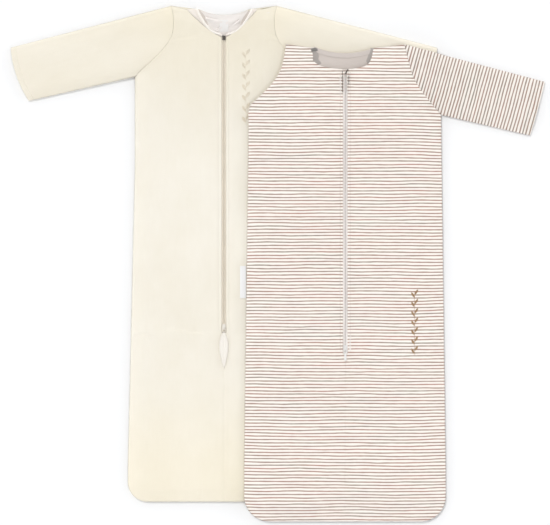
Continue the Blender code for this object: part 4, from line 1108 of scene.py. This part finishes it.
for side, hand in HANDS:
    seam = OUTER_ARM_CURVE * [side, 1] + [OUTER_X, 0]
    cuff = np.array(OUTER_CUFF) * [side, 1] + [OUTER_X, 0]
    cloth = tube_piece(f"outer_sleeve_{hand}", seam, cuff, OUTER_BOW, 0.0022, floor_level, 0.0034,
                       outer_sleeve_loft, (110, 56), 0.0008, hem=0.0105,
                       ripple=outer_sleeve_ripple(51 + side))
    dress(cloth, SLEEVE_VELOUR, "velour", None, f"outer_{hand}_sleeve")
    liner = tube_piece(f"outer_sleeve_lining_{hand}_cloth", seam, cuff, OUTER_BOW - 0.003, 0.0009,
                       floor_level, 0.0034, outer_sleeve_loft, (60, 40), 0.0008, stop=0.965,
                       inset=0.0026)
    dress(liner, LINING_CLOTH, "lining", None, f"outer_{hand}_sleeve_lining")
    if side < 0:
        for part in (cloth, liner):
            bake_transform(part)
    else:
        for part in (cloth, liner):
            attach(part, "outer_bag")


# ------------------------------------------------------------ inner bag
def inner_neck(y):
    """Half width of the front neck opening at height y, its lower edge nearly level."""
    t = np.linspace(0, 1, 200)
    return np.interp(y, INNER_NECK_LOW + 0.0120 * t ** 2 + 0.0287 * t ** 12, INNER_NECK[0] * t)


def inner_opening(y, side):
    """Edge of the neck opening, which is pulled wider and squarer on the left."""
    if side > 0:
        return inner_neck(y) * 0.96
    square = 0.0035 + 0.0040 * ridge(y - 0.4150, 0.006)
    return inner_neck(y) * 1.09 + square * smooth((y - 0.3985) / 0.007)


INNER_NECK_BACK = (INNER_NECK[0], *INNER_BACK_NECK)
x, y = back_panel(inner_end, INNER_HEM, INNER_ARMHOLE[0], INNER_NECK_BACK, 0.330, 0.0006, 200, 130)
left = -inner_end(y, INNER_FOLDED_CURVE) + 0.0006
share = np.clip(-x / np.maximum(inner_end(y) - 0.0006, 1e-6), 0, 1)
x = np.where(x < 0, left * share, x)
top = inner_base(INNER_X + x, y) + JERSEY
piece = sheet_piece("inner_back", INNER_X + x, y, top, JERSEY, 0.0009)
dress(piece, STRIPED, "jersey", "inner_bag", "inner_back_panel")

INNER_SPOTS = [(INNER_HEM, 0.022), (INNER_ZIP[0], 0.006), (INNER_NECK_LOW, 0.008), (0.440, 0.010)]
for side, hand in HANDS:
    arm = INNER_FOLDED_CURVE if side < 0 else INNER_ARM_CURVE
    x, y = half_front(side, INNER_ZIP[0], INNER_NECK_LOW, INNER_NECK, INNER_ARMHOLE[0],
                      INNER_CHANNEL, lambda at: inner_end(at, arm), INNER_HEM,
                      lambda at: inner_opening(at, side), 300, 72, INNER_SPOTS)
    top = inner_top(np.abs(x), y, side, arm)
    top = top + settle(x, y, top, 0.004, 0.0016)
    inner_laid[side] = (x, y, top)
    dip = ridge(np.abs(x) - INNER_CHANNEL - INNER_STITCH, 0.0011)
    dip = dip * smooth((y - INNER_ZIP[0]) / 0.01)
    level = (np.abs(x) < 0.03) * (1 - smooth((y - INNER_ZIP[0] + 0.012) / 0.01))
    centre_seam = ridge(x, 0.0018) * level
    top = top - 0.0004 * dip - 0.0001 * centre_seam
    piece = sheet_piece(f"inner_front_{hand}", INNER_X + x, y, top, JERSEY, 0.0011, flush=level)
    dress(piece, STRIPED, "jersey", "inner_bag", f"inner_{hand}_front_panel")

# back neck facing, seen through the neck opening
t = np.linspace(-1, 1, 90)[:, None]
s = shares(20, 0.06)[None, :]
x = 0.0600 * t - 0.0040 + 0 * s
top_y = INNER_BACK_NECK[0] - 0.0016 + 0.0120 * (np.abs(x) / INNER_NECK[0]) ** 2.2
y = top_y - (0.0430 - 0.0060 * np.abs(t) ** 2) * s
sag = 0.0006 * creases(x, y, 61, 0.040, 0.012, 0.1)
top = INNER_BACK_FACING_TOP + sag * smooth(s * (1 - s) * 8)
piece = sheet_piece("inner_back_neck_facing_cloth", INNER_X + x, y, top, *FINE)
dress(piece, FACING_GREY, "facing", "inner_bag", "inner_back_neck_facing")

s = shares(12, 0.1)[None, :]
x = x[:, :1] + 0 * s
y = INNER_BACK_NECK[0] + 0.0004 + 0.0116 * (np.abs(x) / INNER_NECK[0]) ** 2.2 - 0.0100 * s
piece = sheet_piece("inner_back_neck_binding", INNER_X + x, y, INNER_BINDING_TOP + 0 * y,
                    0.0010, 0.0008)
dress(piece, BINDING_GREY, "facing", "inner_bag")

# strips of turned cloth in its corners, coloured dark as painted shade
for side, wide, low_y, level, material, hand, cut in (
        (-1, 0.0115, 0.4060, INNER_SHADED_TURNING_TOP, SHADED_TURNING_GREY, "left",
         ((0.012, 0.034), "laid", (), 0.00038)),
        (1, 0.0075, 0.4085, INNER_SHADED_TURNING_TOP, SHADED_TURNING_GREY, "right",
         ((0.012, 0.034), "laid", (), 0.00028)),
        (-1, 0.0115, 0.4325, INNER_CORNER_SHADOW_TOP, CORNER_SHADOW_CLOTH, "left_top",
         ((0.012, 0.010), "laid", (), 0.000095))):
    t, s = band_grid(40, 0.06, 12, 0.1)
    edge_y = lerp(low_y, 0.4392, t)
    edge_x = inner_opening(edge_y, side) + 0.0020
    width = 0.0020 + wide * np.minimum(1, 7 * t + 0.1) ** 0.5 * np.minimum(1, 1.6 - 0.9 * t)
    x = edge_x - width * s
    top = level - 0.0006 * s + 0 * x
    piece = sheet_piece(f"inner_neck_shaded_turning_{hand}", INNER_X + side * x, edge_y + 0.0015 * s,
                        top, *FINE)
    dress(piece, material, "facing", "inner_bag")


# ------------------------------------------------------------ sleeves of the inner bag
def inner_sleeve_ripple(x, y, u, v):
    relief = 0.0009 * creases(u * 0.26, v * 0.12, 71, 0.13, 0.030, 0.2)
    relief += 0.0007 * creases(u * 0.26, v * 0.12, 75, 0.06, 0.020, 1.3)
    relief -= 0.0011 * fold_ridge(u * 0.26, v * 0.14, (0.0, 0.130), (0.070, 0.090), 0.009)
    return relief


# the sleeve that is spread out
seam = INNER_ARM_CURVE + [INNER_X, 0]
cuff = np.array(INNER_CUFF) + [INNER_X, 0]
cloth = tube_piece("inner_sleeve_right", seam, cuff, INNER_BOW, JERSEY, drape, 0.0036,
                   lambda u: lerp(0.0082, 0.0062, smooth(u)), (110, 56), 0.0010, hem=0.0120,
                   ripple=inner_sleeve_ripple)
dress(cloth, DULL_STRIPED, "jersey", None, "inner_right_sleeve")
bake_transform(cloth)

# the other sleeve, folded flat under the bag
shift = np.array([INNER_X + 0.004, 0.0])
seam = INNER_FOLDED_CURVE * [-1, 1] + shift
cloth = tube_piece("inner_sleeve_left", seam, FOLDED_CUFF + shift, 0.0, 0.0010, drape, 0.0014,
                   lambda u: 0.0030 + 0 * u, (60, 36), 0.0009)
dress(cloth, STRIPED, "jersey", "inner_bag", "inner_left_sleeve")


# ------------------------------------------------------------ zips
def strip(name, centre_x, half, low_y, high_y, top, thickness, material, slot, body, nodes):
    """A flat band running up a bag, as zip tape or guard."""
    y = np.linspace(low_y, high_y, 160)[:, None]
    s = shares(9, 0.1, -1.0)[None, :]
    x = centre_x + half * s + 0 * y
    ripple = 0.0001 * noise(y / 0.02, 0 * y, 9)
    piece = sheet_piece(name, x, y + 0 * x, top + ripple + 0 * x, thickness, 0.0004)
    dress(piece, material, slot, body, *nodes)
    return piece


def zip_teeth(name, x, low_y, high_y, level, reach, height, pitch, side, material, slot, body,
              node_name):
    """Coil teeth at an even pitch, each a small rounded loop lying across the tape."""
    y = np.arange(low_y + pitch, high_y - pitch / 2, pitch) + (pitch / 2 if side > 0 else 0)
    count = len(y)
    near = 0.0001
    middle_x = np.full(count, x + side * (near + reach) / 2)
    centres = np.column_stack([middle_x, y, np.full(count, level)])
    directions = np.tile([1.0, 0.10 * side, 0.0], (count, 1))
    teeth = beads(name, centres, directions, (reach - near, pitch * 0.80, height), 0.62, 8, 3)
    dress(teeth, material, slot, body, node_name)
    return teeth


TAPE_HALF, TAPE_OFF = 0.0063, 0.0065     # half width of a tape, and its middle from the zip's
GUARD_HALF = 0.0125
TOOTH_HEIGHT = 0.0014
# of each bag: middle, ends, top of the teeth, heights of tape, guard and teeth, tooth reach, pitch
ZIPS = (("outer", OUTER_X, OUTER_ZIP, 0.4565, 0.0118, 0.0089, 0.0122, 0.0029, 0.0018,
         CREAM_TAPE, CREAM_TEETH, "cream"),
        ("inner", INNER_X, INNER_ZIP, 0.3855, 0.0221, 0.0193, 0.0226, 0.0028, 0.0016,
         GREY_TAPE, GREY_TEETH, "grey"))
for side, hand in HANDS:
    for bag, x, ends, teeth_end, tape_top, _, teeth_level, reach, pitch, tape, teeth, shade in ZIPS:
        strip(f"{bag}_zip_tape_{hand}", x + side * TAPE_OFF, TAPE_HALF, ends[0] - 0.005,
              ends[1] - 0.002, tape_top, 0.0007, tape, f"tape_{shade}", f"{bag}_bag",
              [f"{bag}_zip_{hand}_tape"])
        zip_teeth(f"{bag}_zip_teeth_{hand}", x, ends[0], teeth_end, teeth_level, reach,
                  TOOTH_HEIGHT, pitch, side, teeth, f"coil_{shade}", f"{bag}_bag",
                  f"{bag}_zip_{hand}_coil")
for bag, x, ends, _, _, guard_top, _, _, _, tape, _, shade in ZIPS:
    strip(f"{bag}_guard", x, GUARD_HALF, ends[0] - 0.009, ends[1] - 0.003, guard_top, 0.0008,
          tape, f"tape_{shade}", f"{bag}_bag", [f"{bag}_zip_guard"])

METALS = {"outer_zip_retainer_box": DARK_METAL, "outer_zip_insertion_pin": DARK_METAL,
          "outer_zip_end_stop": DARK_METAL, "outer_zip_slider": PALE_METAL,
          "outer_zip_pull_loop": PALE_METAL, "inner_zip_retainer_box": PALE_METAL,
          "inner_zip_insertion_pin": PALE_METAL, "inner_zip_end_stop": PALE_METAL,
          "inner_zip_slider": WHITE_PLASTIC, "inner_zip_pull_loop": WHITE_PLASTIC,
          "inner_zip_pull_tab": WHITE_PLASTIC}
for name, material in METALS.items():
    soften(name, 0.0003 if "pin" in name or "loop" in name else 0.0005)
    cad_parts[name].data.materials.clear()
    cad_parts[name].data.materials.append(material)

# ------------------------------------------------------------ leaf pull of the outer zip
LEAF_RIM = 0.0016                        # stitched seam inside the leaf's edge
leaf_low, leaf_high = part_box("outer_zip_leaf_pull")
t = shares(110, 0.04)[:, None]
s = spread(-1.0, 1.0, 45, [(-1.0, 0.06), (0.0, 0.05), (1.0, 0.06)])[None, :]
leaf_half = 0.0010 + 0.0089 * np.clip(np.sin(pi * t ** 0.74), 0, 1) ** 0.80
x = OUTER_X + leaf_half * s
y = leaf_high.y - 0.0006 - (leaf_high.y - leaf_low.y - 0.0010) * t + 0 * s
puff = bulge((1 - np.abs(s)) * leaf_half / 0.0042)
vein = ridge(s * leaf_half, 0.0007) * smooth(t / 0.06) * smooth((1 - t) / 0.10)
rib = np.zeros_like(x)
for at in np.linspace(0.16, 0.80, 7):
    rib += ridge((t - at) * 0.074 + np.abs(s) * leaf_half * 0.75, 0.0008)
rib *= smooth((np.abs(s) - 0.04) / 0.15) * smooth((0.86 - np.abs(s)) / 0.10)
border = ridge((1 - np.abs(s)) * leaf_half - LEAF_RIM, 0.0006)
top = leaf_low.z + 0.0014 + 0.0014 * puff - 0.0007 * vein - 0.00035 * rib - 0.0004 * border
leaf = sheet_piece("leaf_pull", x, y, top, 0.0022, 0.0016)
dress(leaf, LEAF_CLOTH, "leaf_cloth", "outer_pull", "outer_zip_leaf_pull")
rim = [np.column_stack([OUTER_X + sign * (leaf_half[:, 0] - LEAF_RIM), y[:, 0]])[8:-8]
       for sign in (-1, 1)]
runs = [(path, lambda px, py: leaf_low.z + 0.0021 + 0 * px) for path in rim]
seams = stitches("leaf_pull_stitches", runs, 0.0020, (0.0019, 0.0010, 0.0006))
dress(seams, EDGE_THREAD, "cream_thread", "outer_pull")

# ------------------------------------------------------------ labels
def label(name, x0, x1, y0, y1, top, thickness, slot, body, node_name, fold_axis, material):
    """A blank woven label with a raised woven edge."""
    v, u = band_grid(60, 0.05, 40, 0.05)
    x, y = x0 + (x1 - x0) * u + 0 * v, y0 + (y1 - y0) * v + 0 * u
    if fold_axis == "x":
        edge = np.minimum(v, 1 - v) * (y1 - y0)
    else:
        edge = np.minimum(u, 1 - u) * (x1 - x0)
    rim = 0.00018 * ridge(edge - 0.0011, 0.0005)
    wave = 0.0002 * creases(x, y, 81, 0.012, 0.006, 0.6)
    if fold_axis == "x":
        wave = wave + 0.0016 * (1 - u) ** 1.5
    piece = sheet_piece(name, x, y, top + rim + wave, thickness, 0.0005)
    dress(piece, material, "label", body, node_name)
    return piece


low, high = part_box("outer_neck_label")
label("neck_label", low.x, high.x, low.y, high.y, high.z + 0.0008, 0.0006, "label", "outer_bag",
      "outer_neck_label", "y", NECK_LABEL_CLOTH)
low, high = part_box("inner_side_label")
label("side_label", low.x, high.x, low.y, high.y, high.z, 0.0008, "label", "inner_bag",
      "inner_side_label", "x", LABEL_CLOTH)


# ------------------------------------------------------------ embroidered sprigs
def sprig(x0, y0, y1, half, height, gauge, plump):
    """Strands of a row of satin-stitch leaves along an upright stem."""
    centres, directions, sizes = [], [], []
    count = 7
    pitch = (y1 - y0) / count
    for k in range(int((y1 - y0) / 0.0030)):
        y = y0 + 0.0015 + 0.0030 * k
        centres.append((x0 + 0.0004 * sin(y * 90), y))
        directions.append((0.15 * cos(y * 90), 1.0))
        sizes.append((0.0034, gauge * 1.5, gauge))
    for k in range(count):
        for side in (-1, 1):
            root = np.array([x0, y0 + pitch * (k + 0.18 + 0.30 * (side > 0))])
            tip = root + np.array([side * half * 0.92, pitch * 0.58])
            axis = tip - root
            length = np.hypot(*axis)
            axis = axis / length
            normal = np.array([-axis[1], axis[0]])
            strands = int(length / (gauge * 1.05))
            for j in range(strands):
                t = (j + 0.5) / strands
                wide = plump * length * sin(pi * t ** 0.8)
                for flank in (-1, 1):
                    slant = normal * flank + axis * 0.75
                    slant = slant / np.hypot(*slant)
                    here = root + axis * (length * t) + slant * wide * 0.5
                    centres.append(tuple(here))
                    directions.append(tuple(slant))
                    sizes.append((wide * 1.05 + gauge, gauge * 1.15, gauge))
    centres, directions = np.array(centres), np.array(directions)
    z = height(centres[:, 0], centres[:, 1])
    flat = np.zeros(len(centres))
    return np.column_stack([centres, z]), np.column_stack([directions, flat]), sizes


outer_surface = surface_reader(outer_laid, OUTER_X)
inner_surface = surface_reader(inner_laid, INNER_X)
for bag, surface, gauge, plump, material, slot in (
        ("outer", outer_surface, 0.00055, 0.26, CREAM_THREAD, "cream_thread"),
        ("inner", inner_surface, 0.00050, 0.19, BROWN_THREAD, "brown_thread")):
    low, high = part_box(f"{bag}_embroidery")
    motif = sprig((low.x + high.x) / 2, low.y, high.y, (high.x - low.x) / 2, surface, gauge, plump)
    motif = beads(f"{bag}_sprig", *motif)
    dress(motif, material, slot, f"{bag}_bag", f"{bag}_embroidery")


# ------------------------------------------------------------ topstitching
def zip_topstitch(name, centre_x, off, ends, height, pitch, size, material, slot, body):
    """A line of stitches up each side of a zip."""
    lines = [[(centre_x + side * off, ends[0]), (centre_x + side * off, ends[1])]
             for side in (-1, 1)]
    seams = stitches(name, [(line, height) for line in lines], pitch, size)
    dress(seams, material, slot, body)


zip_topstitch("outer_zip_topstitch", OUTER_X, OUTER_CHANNEL + OUTER_STITCH,
              (OUTER_ZIP[0] + 0.002, OUTER_ZIP[1] - 0.008),
              lambda px, py: outer_surface(px, py) - 0.0005, 0.0034, (0.0026, 0.0006, 0.0006),
              WHITE_THREAD, "cream_thread", "outer_bag")
zip_topstitch("inner_zip_topstitch", INNER_X, INNER_CHANNEL + INNER_STITCH,
              (INNER_ZIP[0] + 0.002, INNER_ZIP[1] - 0.004),
              lambda px, py: inner_surface(px, py) - 0.0003, 0.0028, (0.0021, 0.0005, 0.0005),
              GREY_THREAD, "brown_thread", "inner_bag")

# two flaps of striped jersey that cover the top of the inner zip and part lower down, in the duller
# jersey as painted shade
for side, hand, limit in ((-1, "left", 0.0054), (1, "right", 0.0068)):
    y = spread(INNER_ZIP[1] - 0.0450, INNER_ZIP[1] + 0.0012, 70,
               [(INNER_ZIP[1] - 0.009, 0.002), (INNER_ZIP[1], 0.004)])[:, None]
    s = shares(18, 0.1)[None, :]
    parted = lerp(0.0003, 0.0041, smooth((INNER_ZIP[1] - 0.0083 - y) / 0.0016))
    x = parted + (limit - parted) * s
    over = FLAP_TOP + 0.0013 * smooth((y - INNER_ZIP[1] + 0.016) / 0.006)
    over = over - 0.0006 * s ** 3 + 0.0002 * (side > 0)
    piece = sheet_piece(f"inner_zip_flap_{hand}", INNER_X + side * x, y + 0 * x, over,
                        0.0010, 0.0008)
    # the duller jersey here is painted shade beside the zip
    dress(piece, DULL_STRIPED, "jersey", "inner_bag")
    sewn_on.setdefault(f"inner_front_{hand}", []).append(piece)
runs = [([(INNER_X + off, INNER_ZIP[1] - low), (INNER_X + off, INNER_ZIP[1] - high)],
         lambda px, py: FLAP_STITCH_LEVEL + 0 * px)
        for off, low, high in ((-0.0060, 0.0460, 0.0010), (0.0072, 0.0300, 0.0070))]
seams = stitches("inner_zip_flap_stitches", runs, 0.0033, (0.0026, 0.0019, 0.0009))
dress(seams, DARK_THREAD, "brown_thread", "inner_bag")
t = np.linspace(0, 1, 16)
tack = np.column_stack([INNER_X + 0.0052 - 0.0050 * t, INNER_ZIP[1] + 0.0006 - 0.0086 * t,
                        BAR_TACK_LEVEL + 0 * t])
slant = np.tile([0.75, 0.25, 0.0], (len(t), 1))
tack = beads("inner_zip_bar_tack", tack, slant, (0.0030, 0.0017, 0.0010))
dress(tack, DARK_THREAD, "brown_thread", "inner_bag")

# ------------------------------------------------------------ stage, light and camera
def floor_material():
    made, tree, shader = new_material("paper_floor", (0.955, 0.955, 0.955), 0.9)
    shader.inputs["Specular IOR Level"].default_value = 0.0
    return made


bpy.ops.mesh.primitive_plane_add(size=200.0, location=(0, 0, -0.0004))
floor = bpy.context.object
floor.name = "paper_floor"
floor.data.materials.append(floor_material())


def sun_light(name, towards, spread_angle, strength):
    """A soft lamp far away, so that it lights the whole floor evenly."""
    lamp = bpy.data.lights.new(name, "SUN")
    lamp.angle, lamp.energy = spread_angle, strength
    obj = bpy.data.objects.new(name, lamp)
    bpy.context.scene.collection.objects.link(obj)
    obj.location = towards
    obj.rotation_mode = "QUATERNION"
    obj.rotation_quaternion = (-obj.location).to_track_quat("-Z", "Y")


sun_light("key_light", (-1.9, 3.0, 5.0), 0.36, 1.48)
sun_light("fill_light", (2.4, -2.2, 5.0), 0.49, 0.775)


def studio_world(low, overhead):
    """White tent round the bag: bright low down on every side, dimmer overhead."""
    made = bpy.data.worlds.new("studio")
    made.use_nodes = True
    tree = made.node_tree
    back = tree.nodes["Background"]
    back.inputs["Color"].default_value = (0.97, 0.98, 1.0, 1.0)
    where = tree.nodes.new("ShaderNodeTexCoord").outputs["Generated"]
    height = node(tree, "ShaderNodeSeparateXYZ", Vector=where).outputs["Z"]
    tree.links.new(ramp(tree, height, 0.30, 0.60, low, overhead), back.inputs["Strength"])
    return made


bpy.context.scene.world = studio_world(1.8, 0.17)
bpy.context.scene.view_settings.view_transform = "Standard"

camera = bpy.data.cameras.new("camera")
camera.lens, camera.sensor_width = 191.6, 36.0
camera.clip_start, camera.clip_end = 0.1, 100.0
camera = bpy.data.objects.new("camera", camera)
camera.location = (-0.006, 0.002, 6.0)
bpy.context.scene.collection.objects.link(camera)
bpy.context.scene.camera = camera
